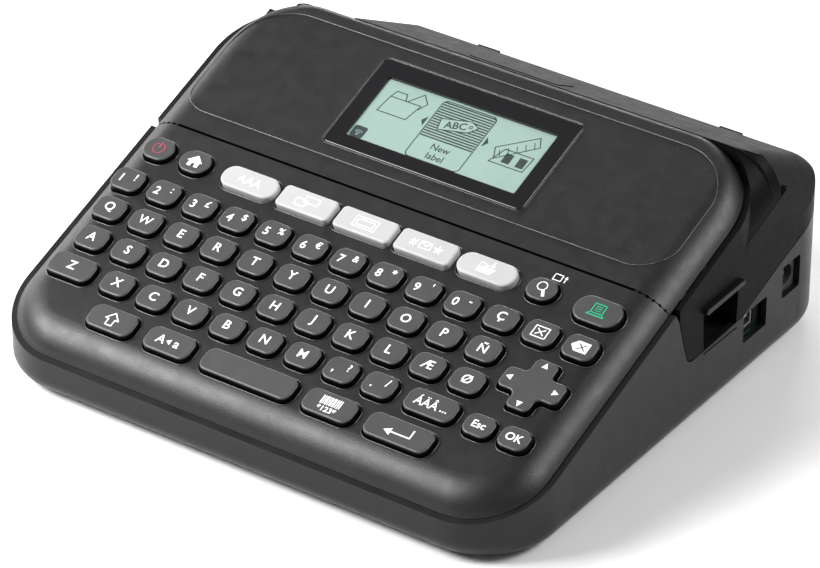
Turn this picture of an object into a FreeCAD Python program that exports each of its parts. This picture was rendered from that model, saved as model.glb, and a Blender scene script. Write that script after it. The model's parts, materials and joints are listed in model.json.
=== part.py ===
import FreeCAD, Part
import math
import os
import Sketcher

# Desktop label maker with a keyboard, a display and a hinged tape compartment cover.
# Frame: origin at the bottom centre, +Z up, -Y towards the user, +X to the user's right.
# Deck pieces are drawn in the keyboard's own tilted plane: x across, y up the slope from the
# front edge, z out of the deck, with z = 0 on the parting plane between deck and base.

SIZES = {
    # overall case
    "width": 188, "depth": 178, "height": 72, "deck_tilt": 20, "rim_front": 13.5,
    "front_corner": 24, "rear_corner": 22, "bottom_round": 6, "wall": 1.8, "floor_top": 3.4,
    "floor_bottom": 1, "seam": 0.3,
    # deck slabs, in the deck plane
    "deck_height": 6, "deck_plate": 2.2, "deck_half": 92, "deck_front": 1.9, "crown": 13,
    "crown_inset": 2.05, "deck_split": 89.8, "deck_rear": 149.4, "deck_corner": 22,
    "ridge_round": 2.5, "deck_rear_corner": 27,
    # display
    "inlay_left": -87.5, "inlay_right": 85.1, "inlay_front": 97.3, "inlay_rear": 143.6,
    "inlay_thick": 1, "lens_left": -36.9, "lens_right": 34.9, "lens_front": 101.9,
    "lens_rear": 138.4, "lcd_left": -31.4, "lcd_right": 29.4, "lcd_front": 106.9,
    "lcd_rear": 131.7, "lens_proud": 0.35,
    # keys
    "key_pitch": 13.43, "row_pitch": 11.76, "key_width": 10.5, "key_depth": 8.6, "key_corner": 3,
    "key_top": 8, "key_bottom": 2.2, "key_edge": 0.7, "key_gap": 0.45, "flange": 0.4,
    "flange_top": 3.4, "digit_x": -81.9, "digit_v": 64.2,
    "q_shift": 1.45, "a_shift": 3.36, "z_shift": 7.78,
    # rear cover
    "ridge_y": 49.2, "ridge_z": 69.4, "bulge_left": -56, "bulge_slope": 28, "bulge_round": 12,
    "shoulder": 15, "cover_wall": 1.8, "hinge_y": 86.2, "hinge_z": 45, "pin_radius": 1.2,
    # batteries
    "cell_radius": 7.25, "cell_length": 50.5, "cell_pitch": 15.5, "bay_half": 58,
    "bay_front": -40, "bay_rear": 12, "bay_top": 21,
    # tape drive
    "gear_module": 0.8, "gear_low": 8, "gear_high": 11, "plate_low": 12, "plate_high": 14.4,
    "platen_x": -54, "platen_y": 36, "shaft_fit": 0.05,
}


class Dim:
    """A dimension: its value now, and the expression over the sheet that gives it."""

    def __init__(self, value, text):
        self.value, self.text = float(value), text

    def __add__(self, other):
        other = dim(other)
        return Dim(self.value + other.value, f"({self.text} + {other.text})")

    def __sub__(self, other):
        other = dim(other)
        return Dim(self.value - other.value, f"({self.text} - {other.text})")

    def __mul__(self, other):
        other = dim(other)
        return Dim(self.value * other.value, f"({self.text} * {other.text})")

    def __truediv__(self, other):
        other = dim(other)
        return Dim(self.value / other.value, f"({self.text} / {other.text})")

    def __neg__(self):
        return Dim(-self.value, f"(0 - {self.text})")

    def __radd__(self, other):
        return dim(other) + self

    def __rsub__(self, other):
        return dim(other) - self

    def __rmul__(self, other):
        return dim(other) * self

    def __float__(self):
        return self.value


def dim(number):
    """Turn a plain number into a Dim, and leave a Dim as it is."""
    return number if isinstance(number, Dim) else Dim(number, f"({float(number):.6g})")


def make_sheet():
    """Write every driving dimension in its own row and return them as Dims by name."""
    for row, (name, value) in enumerate(SIZES.items(), start=1):
        sheet.set(f"A{row}", name)
        sheet.set(f"B{row}", str(value))
        sheet.setAlias(f"B{row}", name)
    doc.recompute()
    return {name: Dim(value, "Sizes." + name) for name, value in SIZES.items()}


def bind(thing, prop, amount):
    """Tie a property to its expression over the sheet."""
    thing.setExpression(prop, dim(amount).text)


doc = FreeCAD.newDocument("LabelMaker")
sheet = doc.addObject("Spreadsheet::Sheet", "Sizes")
S = make_sheet()
nodes = {}


# ---------------------------------------------------------------- drawing helpers

def place(thing, x=0, y=0, z=0, axis=(1, 0, 0), angle=0):
    """Put an object at a point, turned about an axis by an angle in degrees."""
    x, y, z, angle = dim(x), dim(y), dim(z), dim(angle)
    turn = FreeCAD.Rotation(FreeCAD.Vector(*axis), angle.value)
    thing.Placement = FreeCAD.Placement(FreeCAD.Vector(x.value, y.value, z.value), turn)
    for prop, amount in (("x", x), ("y", y), ("z", z)):
        bind(thing, f"Placement.Base.{prop}", amount)
    if angle.value:
        bind(thing, "Placement.Rotation.Angle", angle)


def on_deck(thing):
    """Lay an object drawn in deck coordinates on the sloping deck."""
    place(thing, 0, -S["depth"] / 2, S["rim_front"], (1, 0, 0), S["deck_tilt"])


def new_body(name, deck=False):
    """Start a body that may hold several separate solids."""
    body = doc.addObject("PartDesign::Body", name)
    body.AllowCompound = True
    if deck:
        on_deck(body)
    return body


def sketch_on(body, role, level=0):
    """Start a sketch on one of the body's origin planes, raised to a level."""
    plane = [item for item in body.Origin.OriginFeatures if item.Role == role][0]
    sketch = body.newObject("Sketcher::SketchObject", "Sketch")
    sketch.AttachmentSupport = [(plane, "")]
    sketch.MapMode = "FlatFace"
    level = dim(level)
    sketch.AttachmentOffset = FreeCAD.Placement(FreeCAD.Vector(0, 0, level.value),
                                                FreeCAD.Rotation())
    bind(sketch, "AttachmentOffset.Base.z", level)
    return sketch


def corner_point(sketch, x, y):
    """Add a construction point held at a bound position, and return its index."""
    index = sketch.addGeometry(Part.Point(FreeCAD.Vector(x.value, y.value, 0)), True)
    for kind, amount, axis in (("DistanceX", x, -2), ("DistanceY", y, -1)):
        if abs(amount.value) < 1e-9:
            sketch.addConstraint(Sketcher.Constraint("PointOnObject", index, 1, axis))
        else:
            row = sketch.addConstraint(
                Sketcher.Constraint(kind, -1, 1, index, 1, amount.value))
            sketch.setExpression(f"Constraints[{row}]", amount.text)
    return index


def rounded_corner(before, here, after, radius):
    """Return the arc's two ends, centre and turning sense at one corner of an outline."""
    back, ahead = (before - here).normalize(), (after - here).normalize()
    half = back.getAngle(ahead) / 2
    reach = radius / math.tan(half)
    start, end = here + back * reach, here + ahead * reach
    centre = here + (back + ahead).normalize() * (radius / math.sin(half))
    return start, end, centre, back.cross(ahead).z < 0


def arc_between(start, end, centre, left_turn):
    """Return the short arc from start to end about a centre, always drawn anticlockwise."""
    first, last = (start, end) if left_turn else (end, start)
    angles = [math.atan2(p.y - centre.y, p.x - centre.x) for p in (first, last)]
    circle = Part.Circle(centre, FreeCAD.Vector(0, 0, 1), (start - centre).Length)
    return Part.ArcOfCircle(circle, angles[0], angles[1])


def outline(sketch, corners):
    """Draw a closed outline through corners (x, y, radius), fully constrained."""
    corners = [tuple(dim(item) for item in corner) for corner in corners]
    spots = [FreeCAD.Vector(x.value, y.value, 0) for x, y, _ in corners]
    count = len(corners)
    points = [corner_point(sketch, x, y) for x, y, _ in corners]
    ends = []
    for i, (x, y, radius) in enumerate(corners):
        if radius.value:
            ends.append(rounded_corner(spots[i - 1], spots[i], spots[(i + 1) % count],
                                       radius.value))
        else:
            ends.append((spots[i], spots[i], None, True))
    lines = []
    for i in range(count):
        start, end = ends[i][1], ends[(i + 1) % count][0]
        lines.append(sketch.addGeometry(Part.LineSegment(start, end)))
    for i, (x, y, radius) in enumerate(corners):
        before, after = lines[i - 1], lines[i]
        if not radius.value:
            sketch.addConstraint(Sketcher.Constraint("Coincident", before, 2, points[i], 1))
            sketch.addConstraint(Sketcher.Constraint("Coincident", after, 1, points[i], 1))
            continue
        arc = sketch.addGeometry(arc_between(*ends[i]))
        near, far = (1, 2) if ends[i][3] else (2, 1)
        sketch.addConstraint(Sketcher.Constraint("Tangent", before, 2, arc, near))
        sketch.addConstraint(Sketcher.Constraint("Tangent", after, 1, arc, far))
        sketch.addConstraint(Sketcher.Constraint("PointOnObject", points[i], 1, before))
        sketch.addConstraint(Sketcher.Constraint("PointOnObject", points[i], 1, after))
        row = sketch.addConstraint(Sketcher.Constraint("Radius", arc, radius.value))
        sketch.setExpression(f"Constraints[{row}]", radius.text)


def box_corners(left, right, front, rear, radius=0):
    """Corners of a rectangle, all with one radius."""
    return [(left, front, radius), (right, front, radius),
            (right, rear, radius), (left, rear, radius)]


def circle(sketch, x, y, radius):
    """Draw a circle held at a bound centre and radius."""
    x, y, radius = dim(x), dim(y), dim(radius)
    centre = corner_point(sketch, x, y)
    ring = sketch.addGeometry(Part.Circle(FreeCAD.Vector(x.value, y.value, 0),
                                          FreeCAD.Vector(0, 0, 1), radius.value))
    sketch.addConstraint(Sketcher.Constraint("Coincident", ring, 3, centre, 1))
    row = sketch.addConstraint(Sketcher.Constraint("Radius", ring, radius.value))
    sketch.setExpression(f"Constraints[{row}]", radius.text)


def pad(body, sketch, length, reversed_way=False):
    """Raise a sketch into material."""
    feature = body.newObject("PartDesign::Pad", "Pad")
    feature.Profile = sketch
    feature.Refine = False
    feature.Reversed = reversed_way
    feature.Length = dim(length).value
    bind(feature, "Length", length)
    body.Tip = feature
    return feature


def pocket(body, sketch, length, upward=False):
    """Cut a sketch's area away below its plane, or above it."""
    feature = body.newObject("PartDesign::Pocket", "Pocket")
    feature.Profile = sketch
    feature.Refine = False
    feature.Reversed = upward
    feature.Length = dim(length).value
    bind(feature, "Length", length)
    body.Tip = feature
    return feature


def slab(body, corners, low, high, role="XY_Plane"):
    """Pad an outline from one level to another."""
    sketch = sketch_on(body, role, low)
    outline(sketch, corners)
    return pad(body, sketch, dim(high) - low)


def cut_out(body, corners, low, high, role="XY_Plane"):
    """Cut an outline away from one level up to another."""
    sketch = sketch_on(body, role, low)
    outline(sketch, corners)
    return pocket(body, sketch, dim(high) - low, upward=True)


def disc(body, x, y, radius, low, high, role="XY_Plane"):
    """Pad a circle from one level to another."""
    sketch = sketch_on(body, role, low)
    circle(sketch, x, y, radius)
    return pad(body, sketch, dim(high) - low)


def bore(body, x, y, radius, low, high, role="XY_Plane"):
    """Cut a round hole from one level up to another."""
    sketch = sketch_on(body, role, low)
    circle(sketch, x, y, radius)
    return pocket(body, sketch, dim(high) - low, upward=True)


def edge_names(shape, wanted):
    """Names of the edges whose middle point passes a test."""
    names = []
    for number, edge in enumerate(shape.Edges, start=1):
        middle = edge.valueAt((edge.FirstParameter + edge.LastParameter) / 2)
        if wanted(edge, middle):
            names.append(f"Edge{number}")
    return names


def soften(body, base, radius, wanted):
    """Fillet the chosen edges of a body's last feature."""
    doc.recompute()
    local = base.Shape
    names = edge_names(local, wanted)
    feature = body.newObject("PartDesign::Fillet", "Fillet")
    feature.Base = (base, names)
    feature.Radius = dim(radius).value
    bind(feature, "Radius", radius)
    body.Tip = feature
    return feature


def repeat_row(body, features, spacing, count):
    """Repeat features along +X at a spacing."""
    pattern = body.newObject("PartDesign::LinearPattern", "Row")
    axis = [item for item in body.Origin.OriginFeatures if item.Role == "X_Axis"][0]
    pattern.Originals = features
    pattern.Refine = False
    pattern.Direction = (axis, [""])
    pattern.Length = dim(spacing).value * (count - 1)
    bind(pattern, "Length", dim(spacing) * (count - 1))
    pattern.Occurrences = count
    body.Tip = pattern
    return pattern


def combine(kind, name, base, tool):
    """Boolean of two objects: Part::Cut, Part::Fuse or Part::Common."""
    result = doc.addObject(kind, name)
    result.Base, result.Tool = base, tool
    return result


def node(name, thing):
    """Name a finished sub-part."""
    thing.Label = name
    nodes[name] = thing
    return thing


# ---------------------------------------------------------------- case

def plan_corners(inset=0, front=None):
    """Plan outline of the case, moved inwards by an inset."""
    half, deep = S["width"] / 2 - inset, S["depth"] / 2 - inset
    near, far = S["front_corner"] - inset, S["rear_corner"] - inset
    front_edge, near = (-deep, near) if front is None else (dim(front), 0)
    return [(-half, front_edge, near), (half, front_edge, near),
            (half, deep, far), (-half, deep, far)]


TAN_TILT = math.tan(math.radians(SIZES["deck_tilt"]))
TAN_SLOPE = math.tan(math.radians(SIZES["bulge_slope"]))


def rim_z(y, drop=0):
    """Height of the parting plane between deck and base at a depth y."""
    return S["rim_front"] + (dim(y) + S["depth"] / 2) * TAN_TILT - drop


def bulge_z(y, drop=0):
    """Height of the cover's top slope at a depth y."""
    return S["ridge_z"] - (dim(y) - S["ridge_y"]) * TAN_SLOPE - drop


# The line where the rear cover's side wall meets the base, from the tongue to the rear.
PARTING = [(-2.1, 41.6, 0), (0.8, 32, 3), (3.4, 24, 4), (33, 24.6, 2), (54, 32.2, 0),
           (71.8, 37.9, 0)]
REAR_PARTING_Z = 42.6
LEFT_PARTING_Z = 14


def base_shell():
    """Open tray: floor, walls up to the deck's parting plane, battery bay and posts."""
    body = new_body("base_shell")
    wall, floor = S["wall"], S["floor_top"]
    block = slab(body, plan_corners(), S["floor_bottom"], S["height"])
    soften(body, block, S["bottom_round"], lambda e, m: m.z < 1.01)
    cut_out(body, plan_corners(wall), floor, S["height"])
    top = sketch_on(body, "YZ_Plane", -S["width"])
    far = S["depth"]
    profile = [(-far, rim_z(-far, 0.15), 0), (-4.1, rim_z(-4.1, 0.15), 0)]
    profile += [(y - 0.3, z - 0.3, r) for y, z, r in PARTING[:2]]
    profile += [(y, z - 0.4, r) for y, z, r in PARTING[2:]]
    profile += [(84, REAR_PARTING_Z, 0), (far, REAR_PARTING_Z, 0), (far, 90, 0), (-far, 90, 0)]
    outline(top, profile)
    pocket(body, top, S["width"] * 2, upward=True)
    # the left rear corner is lower: the tape leaves there through its own casing
    cut_out(body, box_corners(-100, -S["width"] / 2 + 8, 2, 95), LEFT_PARTING_Z, 90)
    cut_out(body, box_corners(-100, S["bulge_left"] - 0.3, 60, 95), LEFT_PARTING_Z, 90)
    # battery bay, open below
    bay, front, rear, high = S["bay_half"], S["bay_front"], S["bay_rear"], S["bay_top"]
    slab(body, box_corners(-bay - 2, bay + 2, front - 2, rear + 2), floor - 1, high + 1.5)
    cut_out(body, box_corners(-bay, bay, front, rear, 1), -1, high)
    # screw posts with clearance holes and head recesses
    for x, y in SCREW_PLACES:
        disc(body, x, y, 4, floor - 1, 14)
        bore(body, x, y, 1.7, 0, 13)
        bore(body, x, y, 3.3, 0, 2.6)
    for x, y in BOARD_POSTS:
        disc(body, x, y, 2.5, floor - 1, BOARD_LOW)
    for x, y in CHASSIS_POSTS:
        disc(body, x, y, 3, floor - 1, S["plate_low"])
    # openings for the two sockets
    cut_out(body, box_corners(USB_Y[0], USB_Y[1], USB_Z[0], USB_Z[1], 1), 80, 100, "YZ_Plane")
    cut_out(body, box_corners(JACK_Y[0], JACK_Y[1], JACK_Z[0], JACK_Z[1], 1), 80, 100,
            "YZ_Plane")
    # cup behind the finger recess
    y0, y1 = RECESS_Y[0] - 0.6, RECESS_Y[1] + 0.6
    cup = box_corners(y0 - 1.2, y1 + 1.2, 12, 22.6)
    slab(body, cup, 84, 93.5, "YZ_Plane")
    slab(body, box_corners(y0 - 1.2, y1 + 1.2, 21, RECESS_Z[1] + 1.4), 84, 85.4, "YZ_Plane")
    slab(body, box_corners(y0 - 1.2, y0, 21, RECESS_Z[1] + 1.4), 84, 91.6, "YZ_Plane")
    slab(body, box_corners(y1, y1 + 1.2, 21, RECESS_Z[1] + 1.4), 84, 91.6, "YZ_Plane")
    # hinge lugs at the rear
    for x in LUGS:
        slab(body, box_corners(x - 2.5, x + 2.5, 82.2, 87.4), 30, S["hinge_z"])
        disc(body, S["hinge_y"], S["hinge_z"], 2.5, x - 2.5, x + 2.5, "YZ_Plane")
        bore(body, S["hinge_y"], S["hinge_z"], S["pin_radius"], x - 3, x + 3, "YZ_Plane")
    return node("base_shell", body)


SCREW_PLACES = [(-76, -66), (76, -66), (-76, -8), (76, -8), (-30, 84 - 4), (50, 84 - 4)]
BOARD_POSTS = [(68, 37), (68, 67), (87, 37), (87, 67)]
CHASSIS_POSTS = [(-68, 30), (-20, 30), (20, 30), (56, 30), (-68, 82), (0, 82)]
BOARD_LOW = 12.6
USB_Y, USB_Z = (34.2, 47.2), (14.4, 24.4)
JACK_Y, JACK_Z = (56, 66), (18.6, 29.6)
RECESS_Y, RECESS_Z = (12, 30.5), (22.6, 37.4)
LUGS = [-40, 64]


def shoulder_form(name, left, inset):
    """Solid bulge of the tape compartment: sloped top, round rear and round right shoulder."""
    body = new_body(name)
    drop = dim(inset) / math.cos(math.radians(SIZES["bulge_slope"]))
    rear = S["depth"] / 2 - inset
    sketch = sketch_on(body, "YZ_Plane", left)
    ridge = S["ridge_y"] + inset
    outline(sketch, [(ridge, 10, 0), (rear, 10, 0),
                     (rear, bulge_z(rear, drop), S["bulge_round"]),
                     (ridge, bulge_z(ridge, drop), 0)])
    block = pad(body, sketch, S["width"] / 2 - inset - left)
    limit = SIZES["width"] / 2 - float(dim(inset)) - 0.01

    def on_shoulder(edge, middle):
        return middle.x > limit and middle.z > 40 and abs(middle.y - float(ridge)) > 0.01 \
            and middle.y < float(rear) - 0.01
    soften(body, block, S["shoulder"], on_shoulder)
    plan = new_body(name + "Plan")
    slab(plan, plan_corners(inset), 5, 80)
    return combine("Part::Common", name + "Round", body, plan)


def rear_cover():
    """Tape compartment cover: bulge, right side wall with its tongue, and hinge knuckles."""
    outer = shoulder_form("CoverOuter", S["bulge_left"], 0)
    inner = shoulder_form("CoverInner", S["bulge_left"] + 1.8, S["cover_wall"])
    shell = combine("Part::Cut", "CoverBulge", outer, inner)
    side = new_body("CoverSide")
    sketch = sketch_on(side, "YZ_Plane", S["width"] / 2 - S["cover_wall"])
    outline(sketch, [(-1.8, 10, 0), (56, 10, 0), (56, 60, 0), (50, rim_z(50, 0.3), 0),
                     (-1.8, rim_z(-1.8, 0.3), 0)])
    pad(side, sketch, S["cover_wall"])
    shelved = combine("Part::Fuse", "CoverShelved", side, corner_shelf(1, CORNER_LOW - 1.6))
    wrapped = combine("Part::Cut", "CoverWrapped", shelved, corner_trim(1))
    shouldered = combine("Part::Fuse", "CoverShouldered", wrapped, corner_shoulder())
    whole = combine("Part::Fuse", "CoverWhole", shell, shouldered)
    below = new_body("CoverBelow")
    sketch = sketch_on(below, "YZ_Plane", -S["width"])
    low = [(-60, 41.6, 0)] + PARTING + [(80, REAR_PARTING_Z - 1, 0), (83.6, 44.6, 0),
                                       (120, 44.6, 0), (120, -10, 0), (-60, -10, 0)]
    outline(sketch, low)
    pad(below, sketch, S["width"] * 2)
    # the corner round the deck's rear, and the notch for a finger
    cut_out_tool = new_body("CoverClear")
    recess = [(RECESS_Y[0], RECESS_Z[0], 1.5), (RECESS_Y[1] - 0.8, RECESS_Z[0] - 0.6, 1.5),
              (RECESS_Y[1], RECESS_Z[1] - 1.6, 1.5), (RECESS_Y[0] - 1, RECESS_Z[1], 1.5)]
    slab(cut_out_tool, recess, 88, 100, "YZ_Plane")
    for x in LUGS:
        slab(cut_out_tool, box_corners(x - 2.9, x + 2.9, 82, 92), 40, S["hinge_z"] + 3.2)
    slab(cut_out_tool, box_corners(*WINDOW_X, *WINDOW_Y), 50, 80)
    # the bulge's front and left walls stop above the cassette and the motor
    slab(cut_out_tool, box_corners(S["bulge_left"] - 1, S["width"] / 2 - 2.5, 48, 51.4), 5, 60)
    slab(cut_out_tool, box_corners(S["bulge_left"] - 1, S["bulge_left"] + 3, 48, 80), 5, 37)
    trimmed = combine("Part::Cut", "CoverTrimmed", whole, below)
    opened = combine("Part::Cut", "CoverOpened", trimmed, cut_out_tool)
    knuckles = new_body("CoverKnuckles")
    for x in KNUCKLES:
        slab(knuckles, box_corners(x - 4, x + 4, 84.7, 87.6), S["hinge_z"], S["hinge_z"] + 4)
        disc(knuckles, S["hinge_y"], S["hinge_z"], 2.3, x - 4, x + 4, "YZ_Plane")
    joined = combine("Part::Fuse", "CoverJoined", opened, knuckles)
    bores = doc.addObject("Part::Cylinder", "CoverBores")
    bores.Radius, bores.Height = SIZES["pin_radius"] + SIZES["shaft_fit"], 130
    bind(bores, "Radius", S["pin_radius"] + S["shaft_fit"])
    place(bores, -55, S["hinge_y"], S["hinge_z"], (0, 1, 0), 90)
    return node("rear_cover", combine("Part::Cut", "RearCover", joined, bores))


KNUCKLES = [-32, 56]
WINDOW_X, WINDOW_Y = (-16, 16), (52, 62)


def cover_window():
    """Clear window let into the cover's slope, to see the cassette through."""
    body = new_body("cover_window")
    left, right = WINDOW_X[0] + 0.15, WINDOW_X[1] - 0.15
    front, rear = WINDOW_Y[0] + 0.15, WINDOW_Y[1] - 0.15
    outline_points = [(front, bulge_z(front, -0.25), 0.4), (front, bulge_z(front, 1.6), 0),
                      (rear, bulge_z(rear, 1.6), 0), (rear, bulge_z(rear, -0.25), 0.4)]
    slab(body, outline_points, left, right, "YZ_Plane")
    return node("cover_window", body)


def hinge_pins():
    """One steel pin through each lug and its knuckle."""
    body = new_body("cover_hinge_pins")
    for lug, knuckle in zip(LUGS, KNUCKLES):
        low, high = min(lug, knuckle) - 5, max(lug, knuckle) + 5
        disc(body, S["hinge_y"], S["hinge_z"], S["pin_radius"], low, high, "YZ_Plane")
    return node("cover_hinge_pins", body)


def corner_shelf(side, low):
    """Ledge that fills the corner between the deck's rounded rear corner and the side wall."""
    name = "ShelfRight" if side > 0 else "ShelfLeft"
    body = new_body(name, deck=True)
    wall, near = (S["width"] / 2 - 0.6) * side, dim(SHELF_NEAR * side)
    left, right = (near, wall) if side > 0 else (wall, near)
    slab(body, box_corners(left, right, 112, S["deck_rear"] + 2.6), low, -0.2)
    cut_out(body, deck_corner_outline(0.3), low - 1, 5)
    return body


SHELF_NEAR = 61
CORNER_LOW = -9


def deck_corner_outline(grow):
    """Rear half of the deck's outline on the parting plane, grown outwards."""
    half, rear = S["deck_half"] + grow, S["deck_rear"] + grow
    radius = S["deck_rear_corner"] - S["crown_inset"] + grow
    return [(-half, 60, 0), (half, 60, 0), (half, rear, radius), (-half, rear, radius)]


def corner_trim(side):
    """Everything outside the deck's rounded rear corner, down to the corner's floor."""
    name = "TrimRight" if side > 0 else "TrimLeft"
    box = new_body(name + "Box", deck=True)
    near, far = (SHELF_NEAR + 1) * side, 110 * side
    slab(box, box_corners(min(near, far), max(near, far), 110, 162), CORNER_LOW, 16)
    keep = new_body(name + "Keep", deck=True)
    slab(keep, deck_corner_outline(S["crown_inset"]), CORNER_LOW - 1, 17)
    return combine("Part::Cut", name, box, keep)


def corner_shoulder():
    """Rounded block outside the deck's right rear corner, which carries the cover's shoulder."""
    block = new_body("ShoulderBlock", deck=True)
    wall = S["width"] / 2
    form = slab(block, box_corners(SHELF_NEAR, wall, 125, 156), SHOULDER_TOP - 15.2,
                SHOULDER_TOP)
    soften(block, form, S["shoulder"],
           lambda e, m: m.x > SIZES["width"] / 2 - 0.01 and m.z > SHOULDER_TOP - 0.01)
    cut_out(block, deck_corner_outline(0.3), CORNER_LOW - 12, -0.2)
    cut_out(block, deck_corner_outline(S["crown_inset"] + 0.3), -0.21, 9)
    under = new_body("ShoulderUnder")
    slab(under, [(10, 0, 0), (53, 0, 0), (53, bulge_z(53), 0), (S["ridge_y"], S["ridge_z"], 0),
                 (10, S["ridge_z"], 0)], 40, 100, "YZ_Plane")
    return combine("Part::Common", "CornerShoulder", block, under)


SHOULDER_TOP = 4.3


def left_form(name, profile, inset):
    """Left casing's solid: a side profile held inside the plan outline."""
    body = new_body(name)
    slab(body, profile, -S["width"] / 2 - 1, S["bulge_left"] - 0.5 - inset, "YZ_Plane")
    plan = new_body(name + "Plan")
    slab(plan, plan_corners(inset), 5, 80)
    return combine("Part::Common", name + "Round", body, plan)


def left_casing():
    """Fixed casing at the left: side wall, low rear hood over the cutter, tape exit slot."""
    edge = -S["width"] / 2
    low, hood = LEFT_PARTING_Z + 0.3, 36
    outer = left_form("LeftOuter", [
        (3.6, low, 1), (91, low, 0), (91, hood, 0), (73, hood, 8), (58, 54, 8),
        (54.5, bulge_z(54.5, 1.5), 2), (50.2, bulge_z(50.2, 0.8), 0.8),
        (50.2, rim_z(50.2, 0.3), 0), (-0.9, rim_z(-0.9, 0.3), 0)], 0)
    inner = left_form("LeftInner", [
        (5.4, 10, 1), (91, 10, 0), (91, hood - 1.8, 0), (72.2, hood - 1.8, 6.5),
        (57, 52.6, 6.5), (53, 62, 1), (51.8, 62, 0), (51.8, 58, 0), (0, 37, 0)], S["wall"])
    shell = combine("Part::Cut", "LeftShell", outer, inner)
    # in front of the ridge only the outer wall stays, so the deck has room
    clear = new_body("LeftClear")
    slab(clear, box_corners(edge + 1.8, 0, -20, 50.1), 0, 90)
    slab(clear, box_corners(S["bulge_left"] - 3, S["bulge_left"], 40, 87.2), 0, 36.3)
    slab(clear, box_corners(LEVER_X[0] - 1, LEVER_X[1] + 1, 58.5, 81), 30, 90)
    slab(clear, box_corners(SLOT_Y[0], SLOT_Y[1], SLOT_Z[0], SLOT_Z[1], 1), -100, -84,
         "YZ_Plane")
    opened = combine("Part::Cut", "LeftOpened", shell, clear)
    lugs = new_body("LeftLugs")
    for x in (LEVER_X[0] - 3, LEVER_X[1] + 1):
        slab(lugs, box_corners(x, x + 2, LEVER_Y - 4, LEVER_Y + 4), LEVER_Z - 4, 51)
    slab(lugs, box_corners(LEVER_X[0] - 3, LEVER_X[1] + 3, 51, 53.2), 30, 57)
    joined = combine("Part::Fuse", "LeftJoined", opened, lugs)
    shelved = combine("Part::Fuse", "LeftShelved", joined, corner_shelf(-1, CORNER_LOW - 1.6))
    whole = combine("Part::Cut", "LeftWhole", shelved, corner_trim(-1))
    hole = doc.addObject("Part::Cylinder", "LeverBore")
    hole.Radius, hole.Height = 1.5, 30
    place(hole, LEVER_X[0] - 6, LEVER_Y, LEVER_Z, (0, 1, 0), 90)
    return node("left_casing", combine("Part::Cut", "LeftCasing", whole, hole))


LEVER_X, LEVER_Y, LEVER_Z = (-86, -70), 57, 34
SLOT_Y, SLOT_Z = (29, 36), (16, 41)


def deck_outline(body, front, rear, low, high):
    """Keyboard half of the deck before its crown is rounded."""
    half = S["deck_half"] + S["crown_inset"]
    radius = S["deck_corner"] + S["crown_inset"]
    return slab(body, [(-half, front, radius), (half, front, radius), (half, rear, 0),
                       (-half, rear, 0)], low, high)


def key_openings():
    """One tool with the opening of every key, each a little larger than its cap."""
    body = new_body("KeyOpenings", deck=True)
    gap = S["key_gap"]
    low, high = -0.2, S["deck_height"] + 1
    for item in KEYS:
        if item["shape"] == "plus":
            slab(body, plus_corners(item, gap), low, high)
            continue
        for left, right in [(item["left"], item["right"])] + item["more"]:
            feature = slab(body, box_corners(left - gap, right + gap, item["front"] - gap,
                                             item["rear"] + gap, item["corner"] + gap),
                           low, high)
            if item["count"] > 1 and left is item["left"]:
                repeat_row(body, [feature], S["key_pitch"], item["count"])
    return body


def keyboard_bezel():
    """Crowned front deck with an opening for every key."""
    body = new_body("DeckSlab", deck=True)
    front = S["deck_front"] - S["crown_inset"]
    high = S["deck_height"]
    block = deck_outline(body, front, S["deck_split"] - S["seam"] / 2, -14, high)
    split = SIZES["deck_split"] - 1
    soften(body, block, S["crown"],
           lambda e, m: abs(m.z - SIZES["deck_height"]) < 1e-6 and m.y < split)
    sketch = sketch_on(body, "XY_Plane", 0)
    outline(sketch, box_corners(-120, 120, -30, 120))
    pocket(body, sketch, 30)
    # hollow underside
    plate = high - S["deck_plate"]
    cut_out(body, box_corners(-86.6, 86.6, 8.4, S["deck_split"] - 2, 12), -1, plate)
    return node("keyboard_bezel", combine("Part::Cut", "KeyboardBezel", body, key_openings()))


def display_deck():
    """Upper deck that carries the display, with a recess for its inlay."""
    solid = new_body("DisplaySlab", deck=True)
    half = S["deck_half"] + S["crown_inset"]
    front, rear = S["deck_split"] + S["seam"] / 2, S["deck_rear"]
    block = slab(solid, [(-half, front, 0), (half, front, 0), (half, rear, S["deck_rear_corner"]),
                         (-half, rear, S["deck_rear_corner"])], -16, S["deck_height"])
    doc.recompute()
    rounded = doc.addObject("Part::Fillet", "DisplayCrown")
    rounded.Base = solid
    rounded.Edges = crown_edges(solid)
    cutter = new_body("DisplayCut", deck=True)
    slab(cutter, box_corners(-120, 120, 60, 170), -40, 0)
    plate = S["deck_height"] - S["deck_plate"]
    slab(cutter, box_corners(-84, 84, S["deck_split"] + 2, S["deck_rear"] - 6, 16), -1, plate)
    slab(cutter, box_corners(S["lens_left"], S["lens_right"], S["lens_front"],
                             S["lens_rear"], 2), -2, 8)
    behind = new_body("DeckBehind")
    slab(behind, box_corners(-120, 120, S["ridge_y"] - 0.25, 70), 20, 90)
    trimmed = combine("Part::Cut", "DeckTrimmed", rounded, behind)
    recessed = combine("Part::Cut", "DeckRecessed", trimmed, inlay_form("InlayRecess", 0.15))
    return node("display_deck", combine("Part::Cut", "DisplayDeck", recessed, cutter))


def inlay_form(name, gap):
    """Solid in the inlay's outline, deeper at both ends where the crown falls away."""
    body = new_body(name, deck=True)
    left, right = S["inlay_left"] - gap, S["inlay_right"] + gap
    near, far = S["inlay_front"] - gap, S["inlay_rear"] + gap
    drop = (0.15 - gap) / 3
    slab(body, [(left, near, 10 + gap), (right, near, 12 + gap), (right, far, 18 + gap),
                (left, far, 20 + gap)], 2.5 + drop, 9)
    step = 85 + 0.15 - gap
    cut_out(body, box_corners(-step, step, 80, 160), 2,
            S["deck_height"] - S["inlay_thick"] + drop)
    return body


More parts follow.
